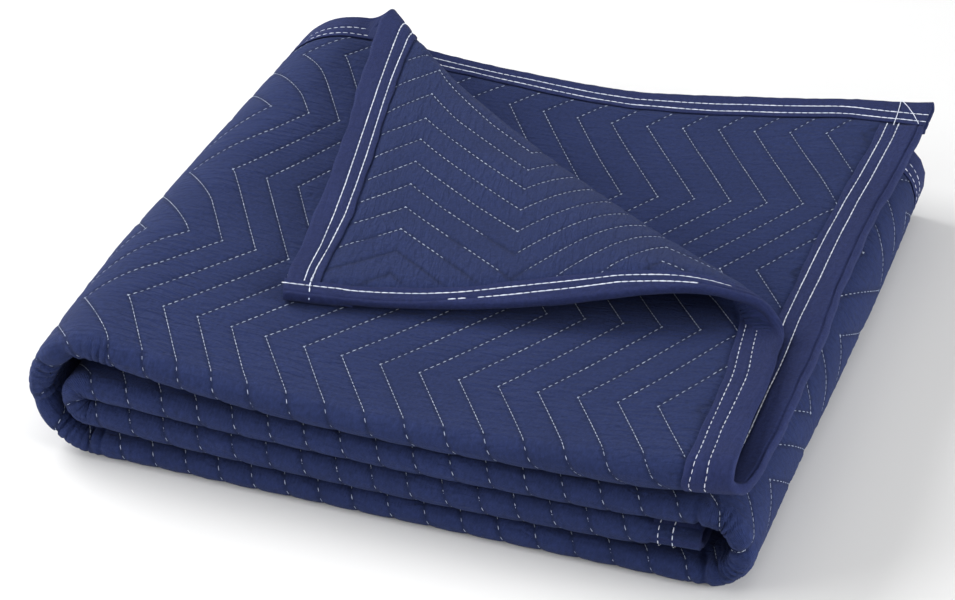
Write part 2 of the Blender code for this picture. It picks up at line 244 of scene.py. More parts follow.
def strip_at(s):
    """x and z of the strip's centre line, and its outward direction."""
    x, z, nx, nz = (np.zeros_like(s) for _ in range(4))
    which = np.clip(np.searchsorted(STARTS, s, side="right") - 1, 0, len(STRIP) - 1)
    for i, (_, cx, cz, radius, start, sweep) in enumerate(STRIP):
        here = which == i
        along = s[here] - STARTS[i]
        if radius:
            turn = math.copysign(1.0, sweep)
            angle = start + turn * along / radius
            x[here] = cx + radius * np.cos(angle)
            z[here] = cz + radius * np.sin(angle)
            nx[here] = turn * np.cos(angle)
            nz[here] = turn * np.sin(angle)
        else:
            x[here] = cx + along
            z[here] = cz
            nz[here] = -1.0
    return x, z, nx, nz


# %% The front fold
def layer_gap(s):
    """Distance between the two layers, changing only around the wraps."""
    gap = np.full_like(s, row_gap("A"))
    for wrap, before, after in (("outer wrap", "A", "D"), ("right wrap", "D", "B"), ("inner wrap", "B", "C")):
        first, last = PLACE[wrap]
        gap += (row_gap(after) - row_gap(before)) * smooth((s - first) / (last - first))
    return gap


def laid(u, v):
    """Where a flat place lies on the strip: along it, and across from the front fold."""
    across = v - FOLD_V
    reach = np.where(across < 0.0, column(LONG_EDGES, u, 1), column(LONG_EDGES, u, 2))
    across = across * (1.0 + reach / FOLD_V)
    fade = np.clip(1.0 - u / TOP_END_FADE, 0.0, 1.1)
    return u + column(TOP_END, across, 1) * fade, across


def stacked(s, across, height):
    """Points of the folded cloth's middle, lifted outwards by height."""
    half = 0.5 * layer_gap(s)
    droop = FRONT_DROOP * smooth(1.0 - s / DROOP_ALONG) * smooth(1.0 - np.abs(across) / DROOP_BACK)
    centre = -0.5 * droop
    half = half + 0.5 * droop
    quarter = 0.5 * math.pi * half
    turn = np.clip(across / half, -0.5 * math.pi, 0.5 * math.pi)
    back = np.maximum(np.abs(across) - quarter, 0.0)
    y = FRONT_Y - half * np.cos(turn) + back
    h = centre - half * np.sin(turn) + height
    x, z, nx, nz = strip_at(s)
    left = smooth((x - OUTER_WRAP_X) / -SIDE_RUN + 1.0) * column(SIDES, back, 1)
    lower_rows = s > PLACE["D"][0]
    right = np.where(lower_rows, smooth((x - RIGHT_WRAP_X) / SIDE_RUN + 1.0), 0.0)
    right = right * column(SIDES, back, 2)
    return np.stack([x + nx * h + left - right, y, z + nz * h], axis=-1)


# %% The turned corner
def crease_frame(start, end):
    """The crease's direction, the direction over it to the corner, and its length."""
    length = float(np.linalg.norm(end - start))
    direction = (end - start) / length
    return direction, np.array([-direction[1], direction[0]]), length


def on_strip(flat_place):
    """A flat place's distance along the strip, and across from the front fold."""
    return np.array([float(value) for value in laid(*(np.array(part) for part in flat_place))])


CREASE_START = on_strip(CREASE_AT_LONG)
CREASE_ALONG, CREASE_OVER, CREASE_LENGTH = crease_frame(CREASE_START, on_strip(CREASE_AT_SHORT))
CORNER = on_strip((0.0, 0.0)) - CREASE_START


def turned_corner(s, across):
    """Places on the strip with the corner folded over its crease, and the height it is lifted."""
    along = (s - CREASE_START[0]) * CREASE_ALONG[0] + (across - CREASE_START[1]) * CREASE_ALONG[1]
    past = (s - CREASE_START[0]) * CREASE_OVER[0] + (across - CREASE_START[1]) * CREASE_OVER[1]
    past = np.maximum(past, 0.0)
    share = np.clip(along / CREASE_LENGTH, 0.0, 1.0)
    radius = CREASE_RADIUS_LONG + (CREASE_RADIUS_SHORT - CREASE_RADIUS_LONG) * share
    turn = np.minimum(past / radius, math.pi)
    flat = np.maximum(past - math.pi * radius, 0.0)
    shift = radius * np.sin(turn) - flat - past
    height = radius * (1.0 - np.cos(turn))

    to_tip = np.clip(flat / (CORNER @ CREASE_OVER - math.pi * radius), 0.0, 1.0)
    to_short = np.clip(share - to_tip * (CORNER @ CREASE_ALONG) / CREASE_LENGTH, 0.0, 1.0)
    settle = (CORNER_REST - 2.0 * radius) * (1.0 - (1.0 - to_tip) ** SETTLE_POWER)
    before = ARCH_START * math.pi * radius
    rise = np.maximum(past - before, 0.0) / (CORNER @ CREASE_OVER - before) / ARCH_PLACE
    lift = ARCH_HEIGHT * np.clip(to_tip + to_short, 0.0, 1.0) ** ARCH_SIDE_POWER
    height = height + settle + lift * (rise * np.exp(1.0 - rise)) ** ARCH_POWER
    pull = -CORNER_SHEAR * flat
    s = s + shift * CREASE_OVER[0] + pull * CREASE_ALONG[0]
    across = across + shift * CREASE_OVER[1] + pull * CREASE_ALONG[1]
    return s, across, height


# %% Flat places carried into the stack
UNDERSIDE = row_height("D") - 0.5 * (row_gap("D") + CLOTH)
SLOPE_STEP = 2e-5  # over which the cloth's slope is measured


def middle_of_cloth(u, v):
    """Points of the cloth's middle in the stack, before the stack is moved to the origin."""
    crept_u = u - column(END_CREEP, v, 1) * smooth(1.0 - u / CREEP_RUN)
    crept_v = v - column(LONG_CREEP, u, 1) * smooth(1.0 - v / CREEP_RUN)
    crept_v = crept_v + column(BACK_CREEP, u, 1) * smooth(1.0 - (WIDTH - v) / CREEP_RUN)
    s, across, height = turned_corner(*laid(crept_u, crept_v))
    hang = column(END_HANG, v, 1) * np.maximum(1.0 - u / END_HANG_RUN, 0.0) ** 2
    return stacked(s, across, height - hang)


def folded(u, v, n):
    """Points in the stack for flat places, and the outer face's direction there."""
    along = middle_of_cloth(u + SLOPE_STEP, v) - middle_of_cloth(u - SLOPE_STEP, v)
    across = middle_of_cloth(u, v + SLOPE_STEP) - middle_of_cloth(u, v - SLOPE_STEP)
    out = np.cross(along, across)
    out /= np.linalg.norm(out, axis=1, keepdims=True)
    place = middle_of_cloth(u, v) + out * n[:, None] - np.array([*STACK_MIDDLE, UNDERSIDE])
    place[:, 2] = np.maximum(place[:, 2], 0.0)  # its own weight flattens it on the floor
    return place, out


corners = folded(np.array([0.0, 0.0]), np.array([0.0, WIDTH]), np.zeros(2))[0]
print("The two corners of the top end lie at", corners.round(3).tolist())

# %% [markdown]
# ## The quilting lines
#
# A multi-needle machine sews all the lines at once while the fabric is moved from side to side,
# so every line is the same zigzag, one pitch after the other. Counting lines is the easy way to
# describe them: a place's line count is a whole number on a line and ends in .5 halfway between
# two lines. The count grows along the blanket, and the zigzag adds to it and takes away from it
# across the blanket. Short tables say where the lines run on each layer, because their pitch
# drifts a little along the blanket, and where the zigzag turns.

# %% Counting lines
PITCH = 0.025  # from line to line along the blanket
LINE_SLOPE = 0.83  # distance across a channel, as a share of the pitch measured along the blanket
# Columns: distance along in pitches, line count, for the layer on top, the one below it, and the
# inner face of the turned corner.
COUNT_PAST_LEFT = ((21.5, 18.4), (28.7, 26.5), (37.2, 35.4), (40.2, 38.6), (45.0, 43.6), (56.4, 55.6),
                   (60.8, 60.4), (72.0, 72.5), (76.0, 76.8))  # from the left wrap on, both layers alike
COUNT_ON_TOP = ((-3.0, -5.1), (2.48, 0.0), (11.12, 8.0), (13.2, 10.0), (16.9, 14.0)) + COUNT_PAST_LEFT
COUNT_BELOW = ((-3.0, -5.5), (2.40, 0.0), (11.2, 9.0)) + COUNT_PAST_LEFT
COUNT_TURNED = ((-3.0, -4.6), (2.32, 0.0), (4.56, 2.0), (6.96, 4.0), (9.44, 6.0), (12.48, 8.0),
                (20.0, 14.0), (75.0, 69.0))
# Columns: distance across in pitches, what the zigzag adds there.
ZIGZAG = ((-0.97, 1.5), (2.30, -0.65), (5.50, 1.7), (8.90, 0.05), (12.03, 2.25), (15.30, 0.0), (18.60, 2.2),
          (20.90, 0.0), (23.20, 2.2), (26.50, 0.0), (29.75, 2.35), (33.30, 0.0), (36.70, 2.2))
ZIGZAG_TURNED = ((-0.97, 2.2), (2.25, 0.0), (5.15, 3.25), (8.80, 0.0), (12.03, 2.25))
BELOW_FROM = 18.0 * PITCH  # the count changes from one layer's to the other's just past the fold
BELOW_RUN = 5.0 * PITCH
TURNED_TO = 12.0 * PITCH  # the turned corner's inner face has counts of its own up to here
TURNED_RUN = 2.0 * PITCH


def even_count(u, v, inner):
    """The line count without its zigzag."""
    below = smooth((v - BELOW_FROM) / BELOW_RUN)
    count = column(COUNT_ON_TOP, u / PITCH, 1) * (1.0 - below) + column(COUNT_BELOW, u / PITCH, 1) * below
    if inner:
        turned = smooth((TURNED_TO + TURNED_RUN - v) / TURNED_RUN)
        count = count * (1.0 - turned) + column(COUNT_TURNED, u / PITCH, 1) * turned
    return count


def zigzag(v, inner):
    """What the zigzag adds to the count."""
    added = column(ZIGZAG, v / PITCH, 1)
    if inner:
        turned = smooth((TURNED_TO + TURNED_RUN - v) / TURNED_RUN)
        added = added * (1.0 - turned) + column(ZIGZAG_TURNED, v / PITCH, 1) * turned
    return added


def line_count(u, v, inner):
    return even_count(u, v, inner) + zigzag(v, inner)


COUNT_LADDER = np.linspace(-2.0 * PITCH, LENGTH + 2.0 * PITCH, 1200)


def where_count(count, v, inner):
    """The distance along at which a count is reached, for one distance across."""
    ladder = line_count(COUNT_LADDER, np.full_like(COUNT_LADDER, v), inner)
    return np.interp(count, ladder, COUNT_LADDER)


print("Lines that cross the middle of the top layer:",
      int(line_count(PLACE["A"][1], 0.25 * WIDTH, False) - line_count(0.0, 0.25 * WIDTH, False)))

# %% [markdown]
# ## Where the tapes are sewn down
#
# A tape is folded over each edge and held by two rows of stitches. When it lies even, the rows are
# as far in on one face as on the other. A tape also rolls a little over the edge that it covers,
# and then its rows lie nearer the edge on one face and further in on the other. The tables say
# where the rows lie along each edge. The cloth, the tapes and the stitches all read them, so the
# three stay together.

# %% Rows of stitches on the tapes
BINDING_REACH = TAPE_WIDTH + 0.0006  # where the cloth comes out of an even tape
SWELL_RUN = 0.006  # run over which it swells to full thickness
FIRST_SEAM = 0.0252  # distance in from the edge of a tape's two rows of stitches, when it lies even
SECOND_SEAM = 0.0162
# Columns: distance along the tape, distance in of the second row and of the first row.
END_ROWS_INNER = (
    (0.000, 0.0010, 0.0082),
    (0.054, 0.0010, 0.0086),
    (0.077, 0.0018, 0.0090),
    (0.096, 0.0046, 0.0104),
    (0.124, 0.0066, 0.0137),
    (0.147, 0.0079, 0.0148),
    (0.195, 0.0090, 0.0152),
    (0.230, 0.0051, 0.0113),
    (0.262, 0.0020, 0.0060),
    (0.300, 0.0010, 0.0060),
    (0.340, 0.0162, 0.0252),
    (0.450, 0.0176, 0.0262),
    (0.480, 0.0174, 0.0260),
    (0.520, 0.0180, 0.0267),
    (0.570, 0.0185, 0.0272),
    (0.610, 0.0183, 0.0273),
    (0.655, 0.0157, 0.0257),
    (0.727, 0.0150, 0.0242),
    (0.800, 0.0155, 0.0235),
    (WIDTH, 0.0158, 0.0234),
)
END_ROWS_OUTER = (
    (0.000, 0.0282, 0.0372),
    (0.240, 0.0262, 0.0352),
    (0.290, 0.0180, 0.0260),
    (0.340, 0.0132, 0.0228),
    (0.370, 0.0135, 0.0230),
    (0.400, 0.0143, 0.0229),
    (0.424, 0.0140, 0.0228),
    (0.434, 0.0144, 0.0240),
    (0.4385, 0.0158, 0.0262),
    (0.444, 0.0205, 0.0302),
    (0.460, 0.0215, 0.0305),
)
LONG_ROWS_INNER = (
    (0.010, 0.0092, 0.0132),
    (0.030, 0.0102, 0.0146),
    (0.060, 0.0107, 0.0158),
    (0.100, 0.0117, 0.0186),
    (0.180, 0.0114, 0.0194),
    (0.220, 0.0117, 0.0197),
    (0.260, 0.0131, 0.0208),
    (0.300, 0.0144, 0.0222),
    (0.340, 0.0149, 0.0237),
    (0.430, 0.0162, 0.0252),
)
LONG_ROWS_OUTER = ((0.000, 0.0232, 0.0322), (0.300, 0.0182, 0.0272), (0.430, 0.0162, 0.0252))
BACK_ROWS_INNER = (
    (0.000, 0.0160, 0.0248),
    (0.017, 0.0140, 0.0225),
    (0.060, 0.0100, 0.0188),
    (0.143, 0.0112, 0.0202),
    (0.185, 0.0100, 0.0178),
    (0.227, 0.0095, 0.0170),
    (0.270, 0.0082, 0.0154),
    (0.320, 0.0080, 0.0142),
    (0.450, 0.0100, 0.0180),
    (0.600, 0.0162, 0.0252),
)
BACK_ROWS_OUTER = ((0.000, 0.0164, 0.0256), (0.060, 0.0204, 0.0304), (0.450, 0.0204, 0.0304),
                   (0.600, 0.0162, 0.0252))
EVEN_ROWS = ((0.0, SECOND_SEAM, FIRST_SEAM),)

# %% [markdown]
# ## Relief: channels, puckers and gathers
#
# The thread pulls the covers together along each line, and the wadding fills the channels between
# lines into low rounded ridges. Next to a line the cover puckers a little. Where a wrap ends in a
# front fold there is more cloth than room, so it gathers into small pleats. All of this is height
# above the middle of the cloth, so it is one function of the flat place. The random parts come
# from a generator with a fixed seed, so each run gives the same blanket.

# %% Relief of the two faces
CHANNEL_RISE = 0.00026  # how far a channel's middle stands above its sides
CHANNEL_BASE = 0.5 * CLOTH - 0.0003  # height of its sides
FOLD_FULLNESS = 0.3  # how much higher channels stand around the front fold, as a share
FOLD_SPREAD = 0.016
SEAM_DEPTH = 0.00055  # how far the thread pulls the cover down
SEAM_WIDTH = 0.0013
PUCKER = 0.00028  # height of the puckers beside a line
PUCKER_PLACE = 0.0045  # how far from the line they are highest
PUCKER_SPREAD = 0.0035
WADDING_WAVE = 0.0002  # height of the wadding's slow unevenness
# Wrap: number of pleats, their depth, how far they reach over the front fold, lean.
GATHERS = {
    "outer wrap": (14, 0.0032, 0.012, 0.9),
    "right wrap": (11, 0.0034, 0.016, -0.7),
    "inner wrap": (6, 0.0026, 0.012, 0.6),
}
GATHER_MIDDLE = 0.007  # they sit on the fold's inner side, where there is least room
GATHER_PAST = 0.22  # how far they run on past the wrap, as a share of it
GATHER_FADE = 0.25
GATHER_POWER = 6  # narrow pleats with wide backs between them
random = np.random.default_rng(12)
PUCKER_PHASE = random.uniform(0.0, 2.0 * math.pi, (3, 128))
PUCKER_RATE = (math.tau / 0.0093, math.tau / 0.0127, math.tau / 0.0181)
# Rate, heading and phase of each wave in the wadding.
WAVES = [(random.uniform(20, 90), random.uniform(0, math.pi), random.uniform(0, math.tau))
         for _ in range(14)]


def slow_waves(u, v):
    """Wide, low unevenness of the wadding, from -1 to 1."""
    total = np.zeros_like(u)
    for rate, heading, phase in WAVES:
        total += np.sin(rate * (u * math.cos(heading) + v * math.sin(heading)) + phase)
    return total / 6.0


def gathers(u, v):
    """Depth of the pleats at the front ends of the wraps."""
    across = laid(u, v)[1]
    total = np.zeros_like(u)
    for wrap, (count, depth, reach, lean) in GATHERS.items():
        first, last = PLACE[wrap]
        share = (u - first) / (last - first)
        window = smooth((share + GATHER_PAST) / GATHER_FADE)
        window = window * smooth((1.0 + GATHER_PAST - share) / GATHER_FADE)
        window *= np.exp(-(((across - GATHER_MIDDLE) / reach) ** 2))
        # The sines space the pleats unevenly and give them uneven depths.
        phase = math.tau * (count * share + lean * np.sin(3.1 * share * count / 3.0) + across / 0.11)
        uneven = 0.65 + 0.35 * np.sin(2.3 * count * share + 9.0 * lean + across / 0.013)
        total += depth * uneven * window * (0.5 + 0.5 * np.cos(phase)) ** GATHER_POWER
    return total


def clear_of_tape(u, v, inner):
    """Distance from the nearest tape's inner edge out onto the open cloth."""
    end = u - column(END_ROWS_INNER if inner else END_ROWS_OUTER, v, 2)
    long_edge = v - column(LONG_ROWS_INNER if inner else LONG_ROWS_OUTER, u, 2)
    back = WIDTH - v - column(BACK_ROWS_INNER if inner else BACK_ROWS_OUTER, u, 2)
    nearest = np.minimum(np.minimum(end, LENGTH - u - FIRST_SEAM), np.minimum(long_edge, back))
    return nearest - (BINDING_REACH - FIRST_SEAM)


def face_height(u, v, inner):
    """Height of a face above the middle of the cloth, taken as positive on both faces."""
    count = line_count(u, v, inner)
    nearest = np.round(count)
    beside = np.abs(count - nearest)
    distance = beside * PITCH * LINE_SLOPE
    fold = np.exp(-(((v - FOLD_V) / FOLD_SPREAD) ** 2)) * (0.0 if inner else 1.0)
    phase = PUCKER_PHASE[:, nearest.astype(int) % PUCKER_PHASE.shape[1]]
    pucker = sum(np.sin(rate * v + phase[i]) for i, rate in enumerate(PUCKER_RATE)) / 2.0
    pucker *= np.exp(-(((distance - PUCKER_PLACE) / PUCKER_SPREAD) ** 2))
    height = CHANNEL_BASE + CHANNEL_RISE * (1.0 + FOLD_FULLNESS * fold) * np.sin(math.pi * beside)
    height = height - SEAM_DEPTH * np.exp(-((distance / SEAM_WIDTH) ** 1.3))
    height = height + PUCKER * pucker + WADDING_WAVE * slow_waves(u, v)
    if not inner:
        height = height - gathers(u, v)
    open_cloth = smooth(clear_of_tape(u, v, inner) / SWELL_RUN) ** 0.5
    return 0.5 * CLOTH_IN_BINDING + (height - 0.5 * CLOTH_IN_BINDING) * open_cloth


# %% [markdown]
# ## The quilted sheet
#
# Straight rows of faces would cut each zigzag line into steps. Instead every column of the mesh
# follows one line count, so seams fall exactly on edges, with columns close together beside a
# seam and wide apart on a channel's back. Rows run across at set distances from the long edge.
# Where a stretch lies hidden in the stack it gets fewer columns, and rows with different numbers
# of points are laced together with triangles.
#
# The outer and inner faces are two such grids, joined all round their rim inside the tape, which
# makes one closed sheet.

# %% Where the mesh is fine
# Columns in a channel, as shares of its width.
FINE = (0.0, 0.05, 0.14, 0.31, 0.5, 0.69, 0.86, 0.95)
FINER_COLUMNS = 26
FINER = tuple(i / FINER_COLUMNS for i in range(FINER_COLUMNS))
MIDDLING = (0.0, 0.12, 0.5, 0.88)
COARSE = (0.0, 0.5)
FOLD_HALF = 0.018  # how far to each side of the front fold the rows are close together
FOLD_MARGIN = 0.02  # how much further the outer face's columns are
SHOWN_TO = 0.47  # past this distance along, the inner face is hidden in the stack
INNER_NEAR = -0.035  # the inner face is fine from this far before the crease
COVERED = 0.03  # from this far past the crease the outer face is turned under
TAPE_BENDS = (-0.03, 0.06)  # distances past the crease between which the cloth in a tape is fine
# How far past a tape a row has a point of its own, and how far past it the columns start.
SWELL_START = 0.35 * SWELL_RUN
SWELL_END = 0.7 * SWELL_RUN
RIM_KEY = 1000.0  # keys of the points inside the end tapes start here, below and above all counts
# Where the cloth comes out of the long tape at the place where that has rolled furthest.
ROLLED_REACH = BINDING_REACH - FIRST_SEAM + min(row[2] for row in LONG_ROWS_INNER)
# The way over the crease on the flat blanket, towards the corner.
FLAT_OVER = crease_frame(np.array(CREASE_AT_LONG), np.array(CREASE_AT_SHORT))[1]


def beyond_crease(u, v):
    """How far a flat place lies past the crease, towards the corner."""
    return (u - CREASE_AT_LONG[0]) * FLAT_OVER[0] + (v - CREASE_AT_LONG[1]) * FLAT_OVER[1]


def columns_at(u, v, inner):
    """The columns that a channel gets at a flat place."""
    wraps = [PLACE[name] for name in ("outer wrap", "right wrap", "inner wrap")]
    in_wrap = any(first - PITCH < u < last + PITCH for first, last in wraps)
    on_left = u < PLACE["outer wrap"][1] + PITCH
    on_right = PLACE["D"][1] - PITCH < u < PLACE["right wrap"][1] + PITCH
    if inner:
        shows = beyond_crease(u, min(v, WIDTH - v)) > INNER_NEAR
        return FINE if shows and u < SHOWN_TO else (MIDDLING if in_wrap else COARSE)
    if abs(v - FOLD_V) < FOLD_HALF + FOLD_MARGIN:
        return FINER if in_wrap else FINE
    if v < FOLD_V and (on_left or on_right):
        return COARSE if beyond_crease(u, v) > COVERED else FINE
    return MIDDLING if in_wrap or v < FOLD_V else COARSE


# %% Rows across the blanket
# Steps between rows.
SHOWN_STEP = 0.0042
FOLD_STEP = 0.0021
HIDDEN_STEP = 0.016
INNER_FOLD_STEP = 0.004
INNER_HIDDEN_STEP = 0.015
HIDDEN_INNER = (0.31, 0.56)  # between these distances across the inner face takes that last step
RIM_STEP = 0.0062
ROLLED_RIM_STEP = 0.003
TURN_MARGIN = 0.004  # a turn of the zigzag gets no row if it lies this near the first or last one


def steps_between(first, last, step):
    """Even places from first up to last, not with it."""
    count = max(1, round((last - first) / step))
    return [first + (last - first) * i / count for i in range(count)]


def row_places(inner):
    """Distances across at which the mesh has a row, with one at each turn of the zigzag."""
    rim = steps_between(0.0, BINDING_REACH, RIM_STEP) + [BINDING_REACH, BINDING_REACH + SWELL_START]
    first = BINDING_REACH + SWELL_RUN
    rolled_rim = [0.0] + steps_between(ROLLED_REACH, first, ROLLED_RIM_STEP) if inner else rim
    far_rim = rolled_rim if inner else rim
    table = ZIGZAG_TURNED[:4] + ZIGZAG[4:] if inner else ZIGZAG
    low, high = first + TURN_MARGIN, WIDTH - first - TURN_MARGIN
    turns = [PITCH * row[0] for row in table if low < PITCH * row[0] < high]
    marks = [first] + turns + [FOLD_V - FOLD_HALF, FOLD_V + FOLD_HALF, WIDTH - first]
    marks.sort()
    rows = list(rolled_rim)
    for start, end in zip(marks, marks[1:]):
        middle = 0.5 * (start + end)
        if abs(middle - FOLD_V) < FOLD_HALF:
            step = INNER_FOLD_STEP if inner else FOLD_STEP
        elif inner:
            step = INNER_HIDDEN_STEP if HIDDEN_INNER[0] <= middle <= HIDDEN_INNER[1] else SHOWN_STEP
        else:
            step = SHOWN_STEP if middle < FOLD_V else HIDDEN_STEP
        rows += steps_between(start, end, step)
    return rows + [WIDTH - first] + [WIDTH - v for v in reversed(far_rim)]


# %% Lacing rows into faces
def row_points(v, inner):
    """One row's distances along and their keys. Points with the same key join up between rows."""
    reach = BINDING_REACH - FIRST_SEAM + float(column(END_ROWS_INNER if inner else END_ROWS_OUTER, v, 2))
    places = [0.0, reach, reach + SWELL_START]
    far_places = [0.0, BINDING_REACH, BINDING_REACH + SWELL_START]
    keys = [-RIM_KEY + i for i in range(len(places))]
    in_tape = min(v, WIDTH - v) < (ROLLED_REACH if inner else BINDING_REACH) - 1e-6
    low = line_count(np.array([reach + SWELL_END]), np.array([v]), inner)[0]
    high = line_count(np.array([LENGTH - BINDING_REACH - SWELL_END]), np.array([v]), inner)[0]
    counts = np.arange(math.floor(low), math.ceil(high))
    starts = where_count(counts + 0.5, v, inner)
    wanted = []
    for count, middle in zip(counts, starts):
        at_crease = TAPE_BENDS[0] < beyond_crease(middle, v) < TAPE_BENDS[1] and v < FOLD_V
        shares = MIDDLING if in_tape and not at_crease else columns_at(middle, v, inner)
        wanted += [count + share for share in shares if low < count + share < high]
    places += where_count(np.array(wanted), v, inner).tolist()
    keys += wanted
    places += [LENGTH - place for place in reversed(far_places)]
    keys += [RIM_KEY + i for i in range(len(far_places))]
    return places, keys


def lace(near, far, near_keys, far_keys):
    """Faces between two rows of points."""
    faces = []
    i = j = 0
    while i < len(near) - 1 or j < len(far) - 1:
        next_near = near_keys[i + 1] if i < len(near) - 1 else math.inf
        next_far = far_keys[j + 1] if j < len(far) - 1 else math.inf
        if abs(next_near - next_far) < 1e-6:
            faces.append((near[i], near[i + 1], far[j + 1], far[j]))
            i, j = i + 1, j + 1
        elif next_near < next_far:
            faces.append((near[i], near[i + 1], far[j]))
            i += 1
        else:
            faces.append((near[i], far[j + 1], far[j]))
            j += 1
    return faces


# %% Build the sheet
def sheet_mesh():
    """The quilted sheet's points, faces and flat coordinates."""
    flat_u, flat_v, height, faces, rims = [], [], [], [], []
    for inner in (False, True):
        rows = []
        for v in row_places(inner):
            places, keys = row_points(v, inner)
            first = len(flat_u)
            flat_u += places
            flat_v += [v] * len(places)
            rows.append((list(range(first, len(flat_u))), keys))
        here = slice(rows[0][0][0], len(flat_u))
        heights = face_height(np.array(flat_u[here]), np.array(flat_v[here]), inner)
        height += (-heights if inner else heights).tolist()
        for (near, near_keys), (far, far_keys) in zip(rows, rows[1:]):
            laced = lace(near, far, near_keys, far_keys)
            faces += [tuple(reversed(face)) for face in laced] if inner else laced
        rims.append([rows[0][0], [row[0][-1] for row in rows], rows[-1][0], [row[0][0] for row in rows]])
    for side, (outer_rim, inner_rim) in enumerate(zip(*rims)):
        flat = flat_v if side % 2 else flat_u
        laced = lace(outer_rim, inner_rim, [flat[k] for k in outer_rim], [flat[k] for k in inner_rim])
        faces += laced if side in (2, 3) else [tuple(reversed(face)) for face in laced]
    return np.array(flat_u), np.array(flat_v), np.array(height), faces


def mesh_piece(name, points, faces, flat_u, flat_v, extras=None):
    """A smooth-shaded object with its flat place as a UV map, in metres."""
    data = bpy.data.meshes.new(name)
    data.from_pydata(points.tolist(), [], faces)
    data.update()
    corners = np.empty(len(data.loops), dtype=np.int32)
    data.loops.foreach_get("vertex_index", corners)
    uv = data.uv_layers.new(name="flat")
    uv.data.foreach_set("uv", np.stack([flat_u[corners], flat_v[corners]], axis=1).ravel())
    for key, values in (extras or {}).items():
        attribute = data.attributes.new(key, "FLOAT", "POINT")
        attribute.data.foreach_set("value", values)
    data.polygons.foreach_set("use_smooth", [True] * len(data.polygons))
    piece = bpy.data.objects.new(name, data)
    bpy.context.scene.collection.objects.link(piece)
    return piece


def triangles(piece):
    """How many triangles a piece has."""
    return sum(len(face.vertices) - 2 for face in piece.data.polygons)


sheet_u, sheet_v, sheet_n, sheet_faces = sheet_mesh()
sheet_points, _ = folded(sheet_u, sheet_v, sheet_n)
counts = np.where(sheet_n < 0.0, line_count(sheet_u, sheet_v, True), line_count(sheet_u, sheet_v, False))
beside_line = np.abs(counts - np.round(counts))
# seam: nearness to a quilting line. The cloth finish uses it to paint shade into the grooves that the thread
# pulls down.
sheet = mesh_piece("quilted_sheet", sheet_points, sheet_faces, sheet_u, sheet_v,
                   {"seam": np.exp(-((beside_line * PITCH / SEAM_WIDTH) ** 2))})
print("Quilted sheet:", triangles(sheet), "triangles")

# %% [markdown]
# ## The bindings
#
# Each edge is closed by a tape folded over it and sewn down with two rows of stitches. The tape
# sinks where the thread holds it and stands up between, and it bulges a little over the edge. Its
# section is a short list of points, swept along the flat edge and then folded with the rest.

# %% Section of the folded tape
SEAM_SINK = 0.0008  # how far the thread pulls the tape down
SINK_WIDTH = 0.0011  # how far to each side of its rows
HEM_DROP = 0.0003  # how far the tape's inner edge turns down
HEM_RUN = 0.0006
DENT_WIDTH = 0.0007
DENT_PLACE = 0.0056  # round the tape from the edge's middle, towards the inner face
# Columns: distance along the top end's tape, depth of the dent along its edge.
END_DENT = ((0.448, 0.0), (0.465, 0.0013), (0.840, 0.0013), (0.860, 0.0))
NO_DENT = ((0.0, 0.0),)
TAPE_INSIDE = 0.5 * CLOTH_IN_BINDING + GAP
TAPE_HEIGHT = 0.0036  # of the tape's outside above the middle of the cloth
NOSE_OUT = 0.0014  # how far the tape bulges over the edge
NOSE_DEPTH = 0.0030  # how far in from there it reaches its full height
NOSE_GIRTH = 0.25 * math.tau * math.hypot(NOSE_DEPTH, TAPE_HEIGHT) / math.sqrt(2.0)
SPARE_GIRTH = NOSE_GIRTH - NOSE_DEPTH + NOSE_OUT  # what going round the nose uses up
ROLL_BLEND = 0.018  # the roll changes from one face's to the other's over this far each way
# Steps round the tape: about the edge, beside the seams and elsewhere.
EDGE_STEP = 0.0005
SEAM_STEP = 0.0006
GIRTH_STEP = 0.0012
EDGE_ROUND = 0.0078  # how far round from the edge's middle the first of them is used
SEAM_CLEARANCE = 0.0004  # other places are left out when they are nearer a seam's than this


def roll_of(girth, run, rows):
    """How far each place of a tape has rolled. rows holds the tables of the two faces, inner first."""
    rolls = []
    for table in rows:
        second, first = SECOND_SEAM - column(table, run, 1), FIRST_SEAM - column(table, run, 2)
        share = np.clip((np.abs(girth) - SPARE_GIRTH - SECOND_SEAM) / (FIRST_SEAM - SECOND_SEAM), 0.0, 1.0)
        rolls.append(second + (first - second) * share)
    inner_side = smooth((girth + ROLL_BLEND) / (2.0 * ROLL_BLEND))
    return rolls[0] * inner_side - rolls[1] * (1.0 - inner_side)


def tape_outside(girth, roll, dent=0.0):
    """Distance in and height of a place on the tape's outside. Girth is measured round the tape
    from the edge's middle when it has not rolled, and is positive on the inner face. Dent is how
    far the tape is pressed in along the middle of the edge."""
    place = girth - roll
    turn = np.minimum(np.abs(place) / NOSE_GIRTH, 1.0) * 0.5 * math.pi
    flat = np.maximum(np.abs(place) - NOSE_GIRTH, 0.0)
    own = np.abs(girth) - SPARE_GIRTH
    sink = sum(np.exp(-(((own - seam) / SINK_WIDTH) ** 2)) for seam in (FIRST_SEAM, SECOND_SEAM))
    sink = SEAM_SINK * sink + HEM_DROP * smooth((own - TAPE_WIDTH + HEM_RUN) / HEM_RUN)
    sink = sink + dent * np.exp(-(((place - DENT_PLACE) / DENT_WIDTH) ** 2))
    inward = NOSE_DEPTH * (1.0 - np.cos(turn)) - NOSE_OUT + flat + sink * np.cos(turn)
    height = (TAPE_HEIGHT - sink) * np.sin(turn)
    return inward, -np.sign(place) * height


